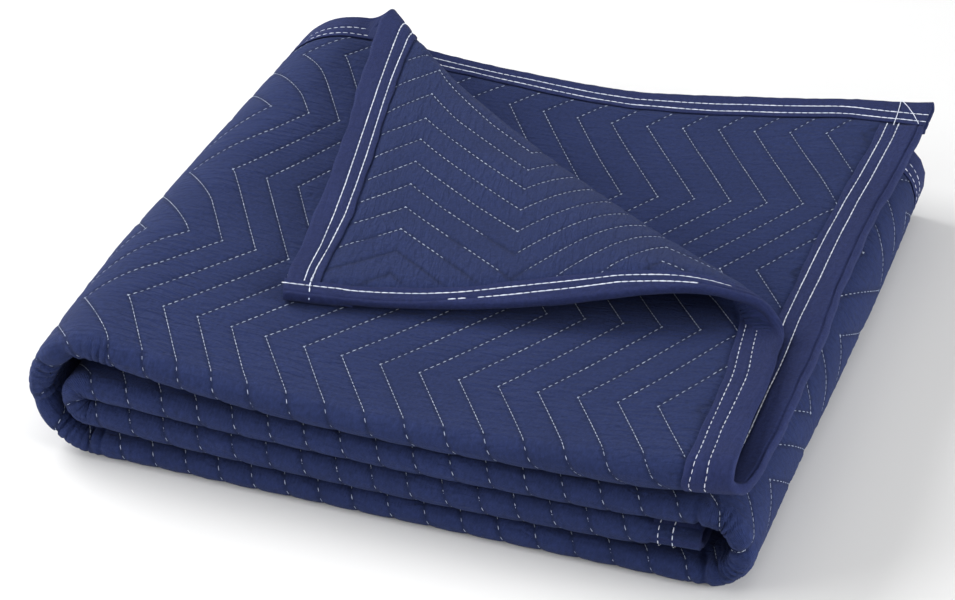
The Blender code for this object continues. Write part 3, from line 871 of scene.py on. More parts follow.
def girth_places():
    """Places round one half of the tape, closer together at the seams."""
    last = SPARE_GIRTH + TAPE_WIDTH
    even = np.arange(EDGE_ROUND, last - 2.0 * EDGE_STEP, GIRTH_STEP)
    steps = (-SEAM_STEP, 0.0, SEAM_STEP)
    seams = [SPARE_GIRTH + seam + step for seam in (FIRST_SEAM, SECOND_SEAM) for step in steps]
    even = [place for place in even if min(abs(place - seam) for seam in seams) > SEAM_CLEARANCE]
    even += np.arange(0.0, EDGE_ROUND, EDGE_STEP).tolist()
    return np.array(sorted(even + seams + [last - EDGE_STEP, last]))


# %% [markdown]
# A sewn tape isn't quite smooth: it ruffles between its stitches, and its edges wander in and out.
# Sums of sines do for both, because the ruffles are small. At the turned corner the end tape lies
# over the long one, so it is lifted a little there.

# %% Sweep and fold a binding
RUFFLES = ((410.0, 1.0), (655.0, 2.3), (233.0, 4.1))  # rate along the tape, how the seed shifts it
RUFFLE_HEIGHT = 0.00022
FACE_SHIFT = 0.011  # shifts the ruffles of one face from those of the other
WANDERS = ((0.0005, 71.0), (0.0003, 187.0))  # how far the edges wander, rate along the tape
SWEEP_STEP = 0.0035
OVERLAP_FADE = 0.004


def tape_ruffle(run, own, seed):
    """Small unevenness of a tape between its stitches, from -1 to 1."""
    wave = sum(np.sin(run * rate + shift * seed) for rate, shift in RUFFLES)
    to_second = np.sin(math.pi * np.clip(own / SECOND_SEAM, 0.0, 1.0))
    between = np.sin(math.pi * np.clip((own - SECOND_SEAM) / (FIRST_SEAM - SECOND_SEAM), 0.0, 1.0))
    return wave / 2.2 * (to_second + 0.7 * between)


def binding(name, first, last, place, steps, rows, seed, dents=NO_DENT, cover=0.0):
    """One tape from first to last along its edge. place turns run and inward into u and v. steps is
    where the fine steps end, then the coarse step. rows are the tables of its stitches, dents the
    table of its dent. cover is how far it overlaps the tape that it meets at first."""
    fine_to, coarse = steps
    runs = steps_between(first, min(last, fine_to), SWEEP_STEP)
    runs += steps_between(min(last, fine_to), last, coarse) if fine_to < last else []
    runs.append(last)
    half = girth_places()
    around = np.concatenate([-half[::-1], half[1:]])
    run, girth = (a.ravel() for a in np.meshgrid(runs, around, indexing="ij"))
    inward, n = tape_outside(girth, roll_of(girth, run, rows), column(dents, run, 1))
    own = np.abs(girth) - SPARE_GIRTH
    lift = RUFFLE_HEIGHT * tape_ruffle(run + FACE_SHIFT * np.sign(girth), own, seed)
    overlap = smooth((first + TAPE_WIDTH + OVERLAP_FADE - run) / OVERLAP_FADE)
    lift = lift + cover * overlap
    n = n + np.sign(n) * lift
    outwards = cover * smooth(1.0 - inward / OVERLAP_FADE) * overlap
    wander = sum(size * np.sin(run * rate + seed) for size, rate in WANDERS)
    # The tape's inner edge and its nose wander. The part between them stays in line.
    inward = inward + wander * (smooth((own - 0.02) / 0.01) - smooth(1.0 - own / 0.006)) - outwards
    outside = np.stack([run, inward, n], axis=-1).reshape(len(runs), len(around), 3)
    reach_inner, reach_outer = (TAPE_WIDTH - FIRST_SEAM + column(table, runs, 2) for table in rows)
    bend = np.full(len(runs), -0.2 * GAP)
    corners = ((reach_inner, -TAPE_INSIDE), (bend, -TAPE_INSIDE),
               (bend, TAPE_INSIDE), (reach_outer, TAPE_INSIDE))
    inside = np.stack([np.stack([runs, at, np.full(len(runs), height)], axis=-1)
                       for at, height in corners], axis=1)
    loop = np.concatenate([outside, inside], axis=1)
    count = loop.shape[1]
    run, inward, n = loop.reshape(-1, 3).T
    u, v = place(run, inward)
    points, _ = folded(u, v, n)
    faces = []
    for i in range(len(runs) - 1):
        near, far = i * count, (i + 1) * count
        for k in range(count):
            following = (k + 1) % count
            faces.append((near + k, near + following, far + following, far + k))
    faces.append(tuple(reversed(range(count))))
    faces.append(tuple((len(runs) - 1) * count + k for k in range(count)))
    piece = mesh_piece(name, points, faces, run, np.tile([*around, 0.0, 0.0, 0.0, 0.0], len(runs)))
    shape = bmesh.new()
    shape.from_mesh(piece.data)
    bmesh.ops.recalc_face_normals(shape, faces=shape.faces[:])
    bmesh.ops.triangulate(shape, faces=[face for face in shape.faces if len(face.verts) > 4])
    shape.to_mesh(piece.data)
    shape.free()
    return piece


# %% [markdown]
# Each of these turns a distance along an edge, and a distance in from it, into a flat place. The
# same four serve for the tapes and for their stitches.

# %% Sew on the four bindings
def on_near_edge(run, inward):
    return run, inward


def on_far_edge(run, inward):
    return run, WIDTH - inward


def on_top_end(run, inward):
    return inward, run


def on_inside_end(run, inward):
    return LENGTH - inward, run


OVERHANG = GAP + TAPE  # how far the long tapes reach past the cloth's ends
END_START_EXTRA = 0.0006  # how much further out than that the top end's tape starts
BUTT = TAPE_WIDTH + GAP  # how far from a long edge an end tape stops at the long tape
EVEN = (EVEN_ROWS, EVEN_ROWS)
LONG_ROWS = (LONG_ROWS_INNER, LONG_ROWS_OUTER)
BACK_ROWS = (BACK_ROWS_INNER, BACK_ROWS_OUTER)
END_ROWS = (END_ROWS_INNER, END_ROWS_OUTER)
END_COVER = 0.0009  # the end tape lies over the long one at the turned corner
long_outer = binding("binding_tape_back_outer", -OVERHANG, LENGTH + OVERHANG, on_near_edge,
                     (0.66, 0.008), LONG_ROWS, 1.0)
long_inner = binding("binding_tape_back_inner", -OVERHANG, LENGTH + OVERHANG, on_far_edge,
                     (0.46, 0.010), BACK_ROWS, 2.0)
end_outer = binding("binding_tape_end_top", -OVERHANG - END_START_EXTRA, WIDTH - BUTT, on_top_end,
                    (WIDTH, 0.010), END_ROWS, 3.0, dents=END_DENT, cover=END_COVER)
end_inner = binding("binding_tape_end_inside", BUTT, WIDTH - BUTT, on_inside_end,
                    (0.0, 0.010), EVEN, 4.0)
bindings = [long_outer, long_inner, end_outer, end_inner]
for piece in bindings:
    print(piece.name, triangles(piece), "triangles")

# %% [markdown]
# ## The stitches
#
# A stitch is a short length of thread lying on the cloth, with its ends going down through it.
# There are thousands, all alike, so Geometry Nodes make them: the paths are turned into curves,
# points are set along each at the stitch spacing, one stitch shape is put on each point, lying
# along the path and flat on the cloth, and the lot is made real. The seed varies each stitch a
# little.
#
# The two legs of the zigzag don't look alike. Along those that lean one way the stitches lie close
# together, and along the others the gaps are wide, so the two are sewn with different sizes.

# %% Node tree that sews a path
def link(tree, source, target):
    tree.links.new(source, target)


def stitch_tree():
    """Curves in, stitches out. The sizes are inputs of the tree."""
    tree = bpy.data.node_groups.new("Row of stitches", "GeometryNodeTree")
    tree.interface.new_socket("Paths", in_out="INPUT", socket_type="NodeSocketGeometry")
    for name, kind, value in (
        ("Spacing", "NodeSocketFloat", 0.0045),
        ("Stitch length", "NodeSocketFloat", 0.003),
        ("Thread width", "NodeSocketFloat", 0.0006),
        ("Sides", "NodeSocketInt", 5),
        ("Seed", "NodeSocketInt", 1),
        ("Thread", "NodeSocketMaterial", None),
    ):
        socket = tree.interface.new_socket(name, in_out="INPUT", socket_type=kind)
        if value is not None:
            socket.default_value = value
    tree.interface.new_socket("Stitches", in_out="OUTPUT", socket_type="NodeSocketGeometry")

    given = tree.nodes.new("NodeGroupInput")
    curve = tree.nodes.new("GeometryNodeMeshToCurve")
    spaced = tree.nodes.new("GeometryNodeResampleCurve")
    spaced.mode = "LENGTH"
    link(tree, given.outputs["Paths"], curve.inputs["Mesh"])
    link(tree, curve.outputs["Curve"], spaced.inputs["Curve"])
    link(tree, given.outputs["Spacing"], spaced.inputs["Length"])

    shape = tree.nodes.new("GeometryNodeMeshUVSphere")
    shape.inputs["Rings"].default_value = 4
    shape.inputs["Radius"].default_value = 0.5
    link(tree, given.outputs["Sides"], shape.inputs["Segments"])
    upright = tree.nodes.new("GeometryNodeTransform")
    upright.inputs["Rotation"].default_value = (0.0, 0.5 * math.pi, 0.0)
    link(tree, shape.outputs["Mesh"], upright.inputs["Geometry"])

    tangent = tree.nodes.new("GeometryNodeInputTangent")
    out = tree.nodes.new("GeometryNodeInputNamedAttribute")
    out.data_type = "FLOAT_VECTOR"
    out.inputs["Name"].default_value = "out"
    along = tree.nodes.new("FunctionNodeAlignRotationToVector")
    along.axis = "X"
    link(tree, tangent.outputs["Tangent"], along.inputs["Vector"])
    flat = tree.nodes.new("FunctionNodeAlignRotationToVector")
    flat.axis = "Z"
    flat.pivot_axis = "X"
    link(tree, along.outputs["Rotation"], flat.inputs["Rotation"])
    link(tree, out.outputs["Attribute"], flat.inputs["Vector"])

    size = tree.nodes.new("ShaderNodeCombineXYZ")
    thin = tree.nodes.new("ShaderNodeMath")
    thin.operation = "MULTIPLY"
    thin.inputs[1].default_value = 0.8  # the thread lies a little flattened
    link(tree, given.outputs["Thread width"], thin.inputs[0])
    link(tree, given.outputs["Stitch length"], size.inputs["X"])
    link(tree, given.outputs["Thread width"], size.inputs["Y"])
    link(tree, thin.outputs["Value"], size.inputs["Z"])
    vary = tree.nodes.new("FunctionNodeRandomValue")
    vary.data_type = "FLOAT"
    vary.inputs[2].default_value = 0.82
    vary.inputs[3].default_value = 1.1
    link(tree, given.outputs["Seed"], vary.inputs["Seed"])
    scaled = tree.nodes.new("ShaderNodeVectorMath")
    scaled.operation = "SCALE"
    link(tree, size.outputs["Vector"], scaled.inputs["Vector"])
    link(tree, vary.outputs[1], scaled.inputs["Scale"])

    placed = tree.nodes.new("GeometryNodeInstanceOnPoints")
    link(tree, spaced.outputs["Curve"], placed.inputs["Points"])
    link(tree, upright.outputs["Geometry"], placed.inputs["Instance"])
    link(tree, flat.outputs["Rotation"], placed.inputs["Rotation"])
    link(tree, scaled.outputs["Vector"], placed.inputs["Scale"])
    real = tree.nodes.new("GeometryNodeRealizeInstances")
    finish = tree.nodes.new("GeometryNodeSetMaterial")
    result = tree.nodes.new("NodeGroupOutput")
    link(tree, placed.outputs["Instances"], real.inputs["Geometry"])
    link(tree, real.outputs["Geometry"], finish.inputs["Geometry"])
    link(tree, given.outputs["Thread"], finish.inputs["Material"])
    link(tree, finish.outputs["Geometry"], result.inputs["Stitches"])
    return tree


STITCHES = stitch_tree()
SOCKETS = {item.name: item.identifier for item in STITCHES.interface.items_tree if item.in_out == "INPUT"}
print("Node tree inputs:", list(SOCKETS))

# %% [markdown]
# The finishes are described further on, but the node tree needs its thread, so the thread comes
# first. It is a pale polyester with a slight lustre: each stitch is thinner than a millimetre, so
# a plain colour that shifts a little from place to place is all that can be seen of it.

# %% Thread
def new_finish(name, roughness):
    """A material and its Principled shader."""
    finish = bpy.data.materials.new(name)
    finish.use_nodes = True
    shader = finish.node_tree.nodes["Principled BSDF"]
    shader.inputs["Roughness"].default_value = roughness
    return finish, shader


def colour_ramp(tree, value, stops):
    """A colour that follows a value between 0 and 1."""
    ramp = tree.nodes.new("ShaderNodeValToRGB")
    for element, (position, colour) in zip(ramp.color_ramp.elements, stops):
        element.position = position
        element.color = (*colour, 1.0)
    link(tree, value, ramp.inputs["Fac"])
    return ramp.outputs["Color"]


def thread_finish(name, dark, light):
    """Thread whose colour shifts a little from dark to light."""
    finish, shader = new_finish(name, 0.55)
    tree = finish.node_tree
    where = tree.nodes.new("ShaderNodeTexCoord")
    noise = tree.nodes.new("ShaderNodeTexNoise")
    noise.inputs["Scale"].default_value = 90.0
    link(tree, where.outputs["Object"], noise.inputs["Vector"])
    colour = colour_ramp(tree, noise.outputs["Fac"], ((0.35, dark), (0.65, light)))
    link(tree, colour, shader.inputs["Base Color"])
    shader.inputs["Sheen Weight"].default_value = 0.15
    return finish


quilting_thread = thread_finish("quilting_thread", (0.24, 0.29, 0.43), (0.40, 0.46, 0.61))
binding_thread = thread_finish("binding_thread", (0.50, 0.55, 0.68), (0.66, 0.70, 0.81))


# %% Sew along paths
def sew(name, paths, spacing, length, width, thread, sides=5, seed=1):
    """Stitches along flat paths. A path is u, v and n at its points."""
    u, v, n = (np.concatenate(part) for part in zip(*paths))
    points, out = folded(u, v, n)
    points[:, 2] = np.maximum(points[:, 2], width)  # no thread goes below the floor
    out *= np.sign(n)[:, None]
    edges, first = [], 0
    for path in paths:
        count = len(path[0])
        edges += [(first + i, first + i + 1) for i in range(count - 1)]
        first += count
    data = bpy.data.meshes.new(name + "_paths")
    data.from_pydata(points.tolist(), edges, [])
    data.attributes.new("out", "FLOAT_VECTOR", "POINT").data.foreach_set("vector", out.ravel())
    guide = bpy.data.objects.new(name + "_paths", data)
    bpy.context.scene.collection.objects.link(guide)
    sewing = guide.modifiers.new("Sewing", "NODES")
    sewing.node_group = STITCHES
    given = {"Spacing": spacing, "Stitch length": length, "Thread width": width, "Sides": sides,
             "Seed": seed, "Thread": thread}
    for key, value in given.items():
        sewing[SOCKETS[key]] = value
    evaluated = guide.evaluated_get(bpy.context.evaluated_depsgraph_get())
    result = bpy.data.meshes.new_from_object(evaluated)
    result.name = name
    guide.modifiers.remove(sewing)
    bpy.data.objects.remove(guide, do_unlink=True)
    result.polygons.foreach_set("use_smooth", [True] * len(result.polygons))
    piece = bpy.data.objects.new(name, result)
    bpy.context.scene.collection.objects.link(piece)
    print(name, triangles(piece), "triangles")
    return piece


# %% [markdown]
# The threads follow the same counts as the channels, so they lie in the seams. They are sewn where
# a line can be seen in the folded stack, and left out inside it. Near the turned corner's free end
# the thread has sunk into the loose cloth, some of it out of sight.

# %% Paths of the quilting lines
THREAD_PROUD = 0.00012  # height of the thread's middle above the cloth
THREAD_START = 0.0005  # how far past an even tape the outer face's lines start
LEG_STEP = 0.004
SHORTEST_LEG = 5  # points in the shortest stretch that is sewn
COUNTS = range(-2, 79)  # every line that could lie on the blanket
BURIED_DEPTH = 0.0009  # how deep the thread has sunk
BURIED_ALONG = 0.085  # and how far along it has
BURIED_ACROSS = 0.15  # and how far across
SEWN_BEFORE_CREASE = 0.012  # the inner face is sewn from this far before the crease
SEWN_BEFORE_BELOW = 0.02  # on the layer that the corner uncovers, from this far before it
SEWN_PAST_FOLD = 0.03  # and from this far past the front fold
SEWN_ROUND_FOLD = 0.026  # the outer face is sewn this far to each side of the front fold
SEWN_PAST_WRAP = 0.03  # and on for this far past the right wrap


def buried(u, v, count, inner):
    """How deep the thread has sunk into the cloth. It has beside the turned corner's free end."""
    if not inner:
        return np.zeros_like(u)
    loose = smooth((BURIED_ALONG - u) / 0.03) * smooth((BURIED_ACROSS - v) / 0.04)
    patchy = smooth(0.4 + 1.6 * np.sin(v * 120.0 + 2.1 * count))
    return BURIED_DEPTH * loose * np.where(count <= 0, 1.0, patchy)


def line_shows(u, v, inner):
    """Whether a stretch of quilting can be seen in the folded stack."""
    if inner:
        if v > FOLD_V:
            below = beyond_crease(u, WIDTH - v) > -SEWN_BEFORE_BELOW
            return v > FOLD_V + SEWN_PAST_FOLD and u < SHOWN_TO and below
        return beyond_crease(u, v) > -SEWN_BEFORE_CREASE and u < SHOWN_TO
    in_fold = abs(v - FOLD_V) < SEWN_ROUND_FOLD
    return in_fold or (v < FOLD_V and u < PLACE["right wrap"][1] + SEWN_PAST_WRAP)


def quilting_paths(inner):
    """Two lists of paths, for the legs of the zigzag that lean one way and the other."""
    legs = ([], [])
    table = ZIGZAG_TURNED[:4] + ZIGZAG[4:] if inner else ZIGZAG
    near = ROLLED_REACH if inner else BINDING_REACH + THREAD_START
    turns = [max(near, min(WIDTH - near, PITCH * row[0])) for row in table]
    for k, (start, end) in enumerate(zip(turns, turns[1:])):
        if end - start < LEG_STEP:
            continue
        places = np.array(steps_between(start, end, LEG_STEP) + [end])
        rising = table[k + 1][1] > table[k][1]
        for count in COUNTS:
            u = np.array([float(where_count(float(count), v, inner)) for v in places])
            clear = clear_of_tape(u, places, inner)
            keep = [gap > 0.0 and line_shows(a, b, inner) for a, b, gap in zip(u, places, clear)]
            run = []
            for i, kept in enumerate(keep + [False]):
                if kept:
                    run.append(i)
                    continue
                if len(run) >= SHORTEST_LEG:
                    us, vs = u[run], places[run]
                    n = face_height(us, vs, inner) + THREAD_PROUD - buried(us, vs, count, inner)
                    legs[rising].append((us, vs, -n if inner else n))
                run = []
    return legs


outer_legs = quilting_paths(False)
inner_legs = quilting_paths(True)
print("Legs of quilting line, outer and inner face:", [len(part) for part in (*outer_legs, *inner_legs)])

# %% Sew the quilting
# On the outer face the close stitches are on the legs along which u falls as v grows. On the inner
# face they are on those along which u grows. The lengths are spacing, stitch and thread width.
quilting = [
    sew("quilting_outer_close", outer_legs[1], 0.0035, 0.0032, 0.00058, quilting_thread, sides=3, seed=3),
    sew("quilting_outer_open", outer_legs[0], 0.0047, 0.0031, 0.00072, quilting_thread, sides=3, seed=4),
    sew("quilting_inner_close", inner_legs[0], 0.0038, 0.0029, 0.00060, quilting_thread, sides=3, seed=5),
    sew("quilting_inner_open", inner_legs[1], 0.0046, 0.0030, 0.00070, quilting_thread, sides=3, seed=6),
]

# %% Paths of the rows of stitches on the bindings
SEAM_PROUD = 0.0002  # height of the thread's middle above the tape
COVER_TO = 0.034  # how far along the end tape's stitches are lifted over the long tape
ROW_MARGIN = 0.002  # how far short of an end most rows on the long tapes stop
SECOND_LONG_START = 0.0085  # the long tape's second row stops at the end tape
END_ROW_START = -0.001
# Stretches over which the end tape's rows are sewn on the inner face. On the real blanket the tape
# rolls the rest out of sight. This one rolls less, so from some sides the rows look cut short.
PAST_CREASE = (0.445, WIDTH - BUTT)
FIRST_SHOWN = ((END_ROW_START, 0.2585), PAST_CREASE)
SECOND_SHOWN = ((0.0945, 0.1005), (0.112, 0.2395), PAST_CREASE)


def seam_path(first, last, seam, side, rows, place, over=0.0):
    """One row of stitches on a tape. side is 1 on the inner face and -1 on the outer face."""
    run = np.array(steps_between(first, last, LEG_STEP) + [last])
    girth = np.full_like(run, side * (SPARE_GIRTH + seam))
    inward, n = tape_outside(girth, roll_of(girth, run, rows))
    n = n + np.sign(n) * (SEAM_PROUD + over * smooth((COVER_TO - run) / OVERLAP_FADE))
    u, v = place(run, inward)
    return u, v, n


def seam_paths(inner):
    """Paths of the two rows of stitches on each tape, on one face."""
    paths = []
    side = 1.0 if inner else -1.0
    last = LENGTH - ROW_MARGIN
    for seam in (FIRST_SEAM, SECOND_SEAM):
        second_inner = inner and seam == SECOND_SEAM
        start = SECOND_LONG_START if second_inner else ROW_MARGIN
        paths.append(seam_path(start, last, seam, side, LONG_ROWS, on_near_edge))
        paths.append(seam_path(0.0, last, seam, side, BACK_ROWS, on_far_edge))
        shown = ((END_ROW_START, WIDTH - BUTT),)
        if inner:
            shown = SECOND_SHOWN if second_inner else FIRST_SHOWN
        for start, end in shown:
            paths.append(seam_path(start, end, seam, side, END_ROWS, on_top_end, END_COVER))
        paths.append(seam_path(BUTT, WIDTH - BUTT, seam, side, EVEN, on_inside_end))
    return paths


# %% [markdown]
# Two small things are left at the tapes' corners. One row runs on over the tape that it meets, and
# two loose ends of thread lie on a tape. Their places are set out point by point.

# %% Loose threads
# The long tape's first row crosses the end tape and runs off its edge.
crossing_u = np.array([-0.0012, -0.0004, 0.0008, 0.003, 0.007, 0.012, 0.016, 0.020])
crossing_n = -np.array([0.0022, 0.0035, 0.0042, 0.0048, 0.0047, 0.0048, 0.0046, 0.0040])
crossing_v = column(LONG_ROWS_INNER, crossing_u, 2)
# Two ends of thread lie on the far long tape beside the top end: places along, places across.
TAILS = (((0.0205, 0.0195, 0.0188, 0.0184), (0.8778, 0.8660, 0.8560, 0.8457)),
         ((0.0205, 0.0140, 0.0078, 0.0021), (0.8778, 0.8690, 0.8590, 0.8481)))


TAIL_POINTS = 14
TAIL_PROUD = 0.0006  # height of a loose end's middle above the tape


def tail_path(u_places, v_places):
    """Path of a loose end of thread."""
    share = np.linspace(0.0, 1.0, TAIL_POINTS)
    u, v = (np.interp(share, np.linspace(0.0, 1.0, len(part)), part) for part in (u_places, v_places))
    return u, v, np.full_like(u, -(TAPE_HEIGHT + TAIL_PROUD))


# %% Sew the bindings
binding_seams = [
    sew("binding_stitches_outer", seam_paths(False), 0.0050, 0.0038, 0.00075, binding_thread, seed=7),
    sew("binding_stitches_inner", seam_paths(True), 0.0048, 0.0054, 0.00105, binding_thread, seed=8),
    sew("thread_over_corner", [(crossing_u, crossing_v, crossing_n)], 0.0042, 0.0046, 0.0011,
        binding_thread, seed=9),
    sew("thread_tails", [tail_path(*tail) for tail in TAILS], 0.0012, 0.0024, 0.0007,
        binding_thread, seed=10),
]

# %% [markdown]
# ## Cloth and tape finishes
#
# The covers are a thin twill dyed navy: matt, with a faint diagonal rib, slightly uneven in
# colour, and finely creased across the channels where the quilting has drawn it up. Up close that
# is what tells cloth from paint. The rib and the creases are heights that bend the light, and
# both follow the flat place, so they turn with every fold. Both cloth and tape use them, so they
# are node groups that put out only heights and tones.

# %% Node groups for weave and creases
def group(name, inputs, outputs):
    """An empty shader node group with float inputs and the outputs named."""
    tree = bpy.data.node_groups.new(name, "ShaderNodeTree")
    for key, value in inputs.items():
        if value is None:
            tree.interface.new_socket(key, in_out="INPUT", socket_type="NodeSocketVector")
        else:
            socket = tree.interface.new_socket(key, in_out="INPUT", socket_type="NodeSocketFloat")
            socket.default_value = value
    for key in outputs:
        tree.interface.new_socket(key, in_out="OUTPUT", socket_type="NodeSocketFloat")
    return tree, tree.nodes.new("NodeGroupInput"), tree.nodes.new("NodeGroupOutput")


def math_node(tree, operation, first, second=None):
    """The output of a math node. Each input is a number or another node's output."""
    node = tree.nodes.new("ShaderNodeMath")
    node.operation = operation
    for socket, value in zip(node.inputs, (first, second)):
        if isinstance(value, (int, float)):
            socket.default_value = value
        elif value is not None:
            link(tree, value, socket)
    return node.outputs["Value"]


def twill_group():
    """Diagonal ribs of a twill, from the flat place in metres."""
    inputs = {"Flat": None, "Ribs per metre": 900.0, "Lean": 1.0}
    tree, given, result = group("Twill rib", inputs, ("Height",))
    parts = tree.nodes.new("ShaderNodeSeparateXYZ")
    link(tree, given.outputs["Flat"], parts.inputs["Vector"])
    slub = tree.nodes.new("ShaderNodeTexNoise")
    slub.inputs["Scale"].default_value = 260.0
    link(tree, given.outputs["Flat"], slub.inputs["Vector"])
    leaned = math_node(tree, "MULTIPLY", parts.outputs["Y"], given.outputs["Lean"])
    diagonal = math_node(tree, "ADD", parts.outputs["X"], leaned)
    turns = math_node(tree, "MULTIPLY", diagonal, given.outputs["Ribs per metre"])
    turns = math_node(tree, "ADD", turns, math_node(tree, "MULTIPLY", slub.outputs["Fac"], 0.8))
    wave = math_node(tree, "SINE", math_node(tree, "MULTIPLY", turns, math.tau))
    height = math_node(tree, "ADD", math_node(tree, "MULTIPLY", wave, 0.3), slub.outputs["Fac"])
    link(tree, height, result.inputs["Height"])
    return tree


def crease_group():
    """Fine creases that run along the blanket, stronger in some patches than others."""
    inputs = {"Flat": None, "Along": 55.0, "Across": 300.0}
    tree, given, result = group("Fine creases", inputs, ("Height", "Patch"))
    stretch = tree.nodes.new("ShaderNodeCombineXYZ")
    link(tree, given.outputs["Along"], stretch.inputs["X"])
    link(tree, given.outputs["Across"], stretch.inputs["Y"])
    scaled = tree.nodes.new("ShaderNodeVectorMath")
    scaled.operation = "MULTIPLY"
    link(tree, given.outputs["Flat"], scaled.inputs[0])
    link(tree, stretch.outputs["Vector"], scaled.inputs[1])
    fine = tree.nodes.new("ShaderNodeTexNoise")
    fine.inputs["Scale"].default_value = 1.0
    fine.inputs["Detail"].default_value = 3.0
    fine.inputs["Distortion"].default_value = 0.6
    link(tree, scaled.outputs["Vector"], fine.inputs["Vector"])
    patch = tree.nodes.new("ShaderNodeTexNoise")
    patch.inputs["Scale"].default_value = 14.0
    link(tree, given.outputs["Flat"], patch.inputs["Vector"])
    strength = tree.nodes.new("ShaderNodeMapRange")
    strength.inputs["From Min"].default_value = 0.35
    strength.inputs["From Max"].default_value = 0.62
    strength.inputs["To Min"].default_value = 0.30
    link(tree, patch.outputs["Fac"], strength.inputs["Value"])
    height = math_node(tree, "MULTIPLY", fine.outputs["Fac"], strength.outputs["Result"])
    link(tree, height, result.inputs["Height"])
    link(tree, patch.outputs["Fac"], result.inputs["Patch"])
    return tree


TWILL = twill_group()
CREASES = crease_group()


# %% Cloth finish
def placed_group(tree, source, values):
    """A node group put into a material, with its values set."""
    node = tree.nodes.new("ShaderNodeGroup")
    node.node_tree = source
    for key, value in values.items():
        node.inputs[key].default_value = value
    return node


def bump(tree, height, distance, strength, under=None):
    """A normal bent by a height, on top of the bump under it if there is one."""
    node = tree.nodes.new("ShaderNodeBump")
    node.inputs["Strength"].default_value = strength
    node.inputs["Distance"].default_value = distance
    link(tree, height, node.inputs["Height"])
    if under is not None:
        link(tree, under, node.inputs["Normal"])
    return node.outputs["Normal"]


def cloth_finish(name, dark, light, ribs, lean, crease_depth, painted_seam_shade):
    """Dyed twill: uneven colour, diagonal rib, fine creases, and painted shade along the quilting lines."""
    finish, shader = new_finish(name, 0.86)
    tree = finish.node_tree
    flat = tree.nodes.new("ShaderNodeUVMap")
    flat.uv_map = "flat"
    creases = placed_group(tree, CREASES, {"Along": 60.0, "Across": 270.0})
    twill = placed_group(tree, TWILL, {"Ribs per metre": ribs, "Lean": lean})
    link(tree, flat.outputs["UV"], creases.inputs["Flat"])
    link(tree, flat.outputs["UV"], twill.inputs["Flat"])
    grain = tree.nodes.new("ShaderNodeTexNoise")
    grain.inputs["Scale"].default_value = 420.0
    grain.inputs["Detail"].default_value = 4.0
    grain.inputs["Roughness"].default_value = 0.7
    link(tree, flat.outputs["UV"], grain.inputs["Vector"])
    tone = math_node(tree, "ADD", math_node(tree, "MULTIPLY", creases.outputs["Patch"], 0.45),
                     math_node(tree, "MULTIPLY", twill.outputs["Height"], 0.30))
    tone = math_node(tree, "ADD", tone, math_node(tree, "MULTIPLY", grain.outputs["Fac"], 1.1))
    tone = math_node(tree, "SUBTRACT", tone, 0.43)
    # Painted shade: the colour is darkened along each quilting line, where the thread pulls the cover into a
    # groove.
    if painted_seam_shade:
        seam = tree.nodes.new("ShaderNodeAttribute")
        seam.attribute_name = "seam"
        darker = math_node(tree, "MULTIPLY", seam.outputs["Fac"], painted_seam_shade)
        tone = math_node(tree, "SUBTRACT", tone, darker)
    link(tree, colour_ramp(tree, tone, ((0.20, dark), (0.80, light))), shader.inputs["Base Color"])
    normal = bump(tree, creases.outputs["Height"], 0.0045, crease_depth)
    normal = bump(tree, twill.outputs["Height"], 0.0007, 0.6, normal)
    normal = bump(tree, grain.outputs["Fac"], 0.0012, 0.5, normal)
    link(tree, normal, shader.inputs["Normal"])
    shader.inputs["Sheen Weight"].default_value = 0.05
    shader.inputs["Sheen Roughness"].default_value = 0.5
    shader.inputs["Sheen Tint"].default_value = (0.55, 0.62, 0.9, 1.0)
    shader.inputs["Specular IOR Level"].default_value = 0.16
    return finish


# The cloth gets painted shade along its quilting lines. The tape gets none.
navy_cloth = cloth_finish("navy_twill", (0.0086, 0.0153, 0.0560), (0.0196, 0.0325, 0.1150),
                          ribs=1050.0, lean=0.8, crease_depth=0.75, painted_seam_shade=0.45)
navy_tape = cloth_finish("navy_tape", (0.0098, 0.0150, 0.0590), (0.0206, 0.0305, 0.1120),
                         ribs=1100.0, lean=-1.2, crease_depth=0.35, painted_seam_shade=0.0)
sheet.data.materials.append(navy_cloth)
for piece in bindings:
    piece.data.materials.append(navy_tape)

# %% [markdown]
# ## Put each piece on its body
#
# Nothing moves here, so each piece rides on the one body. The sheet and tapes stand for the solids
# that they cover, and the threads go with the sheet.

# %% Bodies and solids
for piece in [sheet, *bindings, *quilting, *binding_seams]:
    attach(piece, "root")
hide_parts("quilt_cloth")
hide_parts("binding_long_outer")
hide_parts("binding_long_inner")
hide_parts("binding_end_outer")
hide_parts("binding_end_inner")

# %% [markdown]
# ## Floor, light and camera
#
# A plain pale floor and large soft lights show cloth best: small ones would give hard shadows
# that hide the low relief. The brightest comes from the upper left, so the turned corner shades
# the layer to its right. The camera looks down from the front right with a long lens.

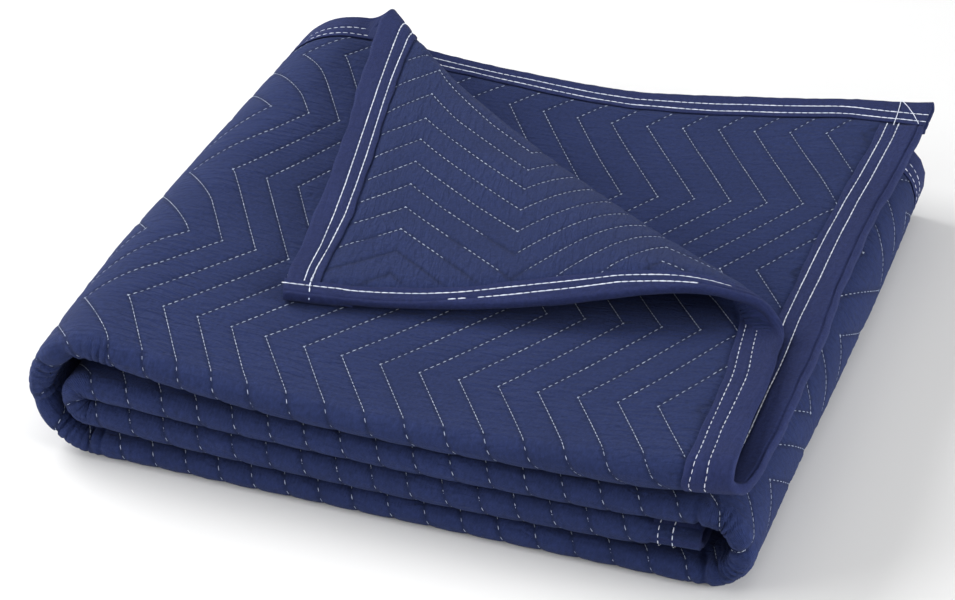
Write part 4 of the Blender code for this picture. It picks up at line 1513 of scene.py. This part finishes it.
# %% Floor
floor_data = bpy.data.meshes.new("floor")
FLOOR_REACH = 30.0
floor_data.from_pydata([(-FLOOR_REACH, -FLOOR_REACH, 0.0), (FLOOR_REACH, -FLOOR_REACH, 0.0),
                        (FLOOR_REACH, FLOOR_REACH, 0.0), (-FLOOR_REACH, FLOOR_REACH, 0.0)],
                       [], [(0, 1, 2, 3)])
floor = bpy.data.objects.new("floor", floor_data)
bpy.context.scene.collection.objects.link(floor)
floor_finish, floor_shader = new_finish("pale_floor", 0.9)
floor_shader.inputs["Base Color"].default_value = (0.72, 0.72, 0.72, 1.0)
floor_shader.inputs["Specular IOR Level"].default_value = 0.1
floor_data.materials.append(floor_finish)


# %% Lights and camera
def area_light(name, place, size, power):
    """A square soft light aimed at the stack."""
    data = bpy.data.lights.new(name, "AREA")
    data.size = size
    data.energy = power
    lamp = bpy.data.objects.new(name, data)
    lamp.location = place
    lamp.rotation_euler = (Vector((0.0, 0.0, 0.05)) - Vector(place)).to_track_quat("-Z", "Y").to_euler()
    bpy.context.scene.collection.objects.link(lamp)


# Name, place, size across and power in watts.
area_light("key_upper_left", (-1.40, 0.25, 1.25), 1.2, 37.0)
area_light("fill_left", (-2.2, -1.4, 0.9), 1.4, 46.0)
area_light("fill_front", (0.6, -2.4, 1.1), 2.0, 13.0)
area_light("fill_right", (2.3, -0.3, 0.7), 1.4, 58.0)
area_light("top", (0.2, 0.3, 3.0), 2.5, 25.0)
world = bpy.data.worlds.new("studio")
world.use_nodes = True
world.node_tree.nodes["Background"].inputs["Color"].default_value = (1.0, 1.0, 1.0, 1.0)
world.node_tree.nodes["Background"].inputs["Strength"].default_value = 0.25
bpy.context.scene.world = world

CAMERA_PLACE = (0.5982, -1.7785, 1.3256)
CAMERA_YAW = math.radians(-18.85)
CAMERA_DOWN = math.radians(34.8)
lens = bpy.data.cameras.new("camera")
lens.sensor_width = 36.0
lens.lens = 129.8
lens.shift_x = -0.0079
camera = bpy.data.objects.new("camera", lens)
camera.location = CAMERA_PLACE
looking = Vector((math.sin(CAMERA_YAW) * math.cos(CAMERA_DOWN),
                  math.cos(CAMERA_YAW) * math.cos(CAMERA_DOWN),
                  -math.sin(CAMERA_DOWN)))
camera.rotation_euler = looking.to_track_quat("-Z", "Y").to_euler()
bpy.context.scene.collection.objects.link(camera)
bpy.context.scene.camera = camera
bpy.context.scene.view_settings.view_transform = "Standard"
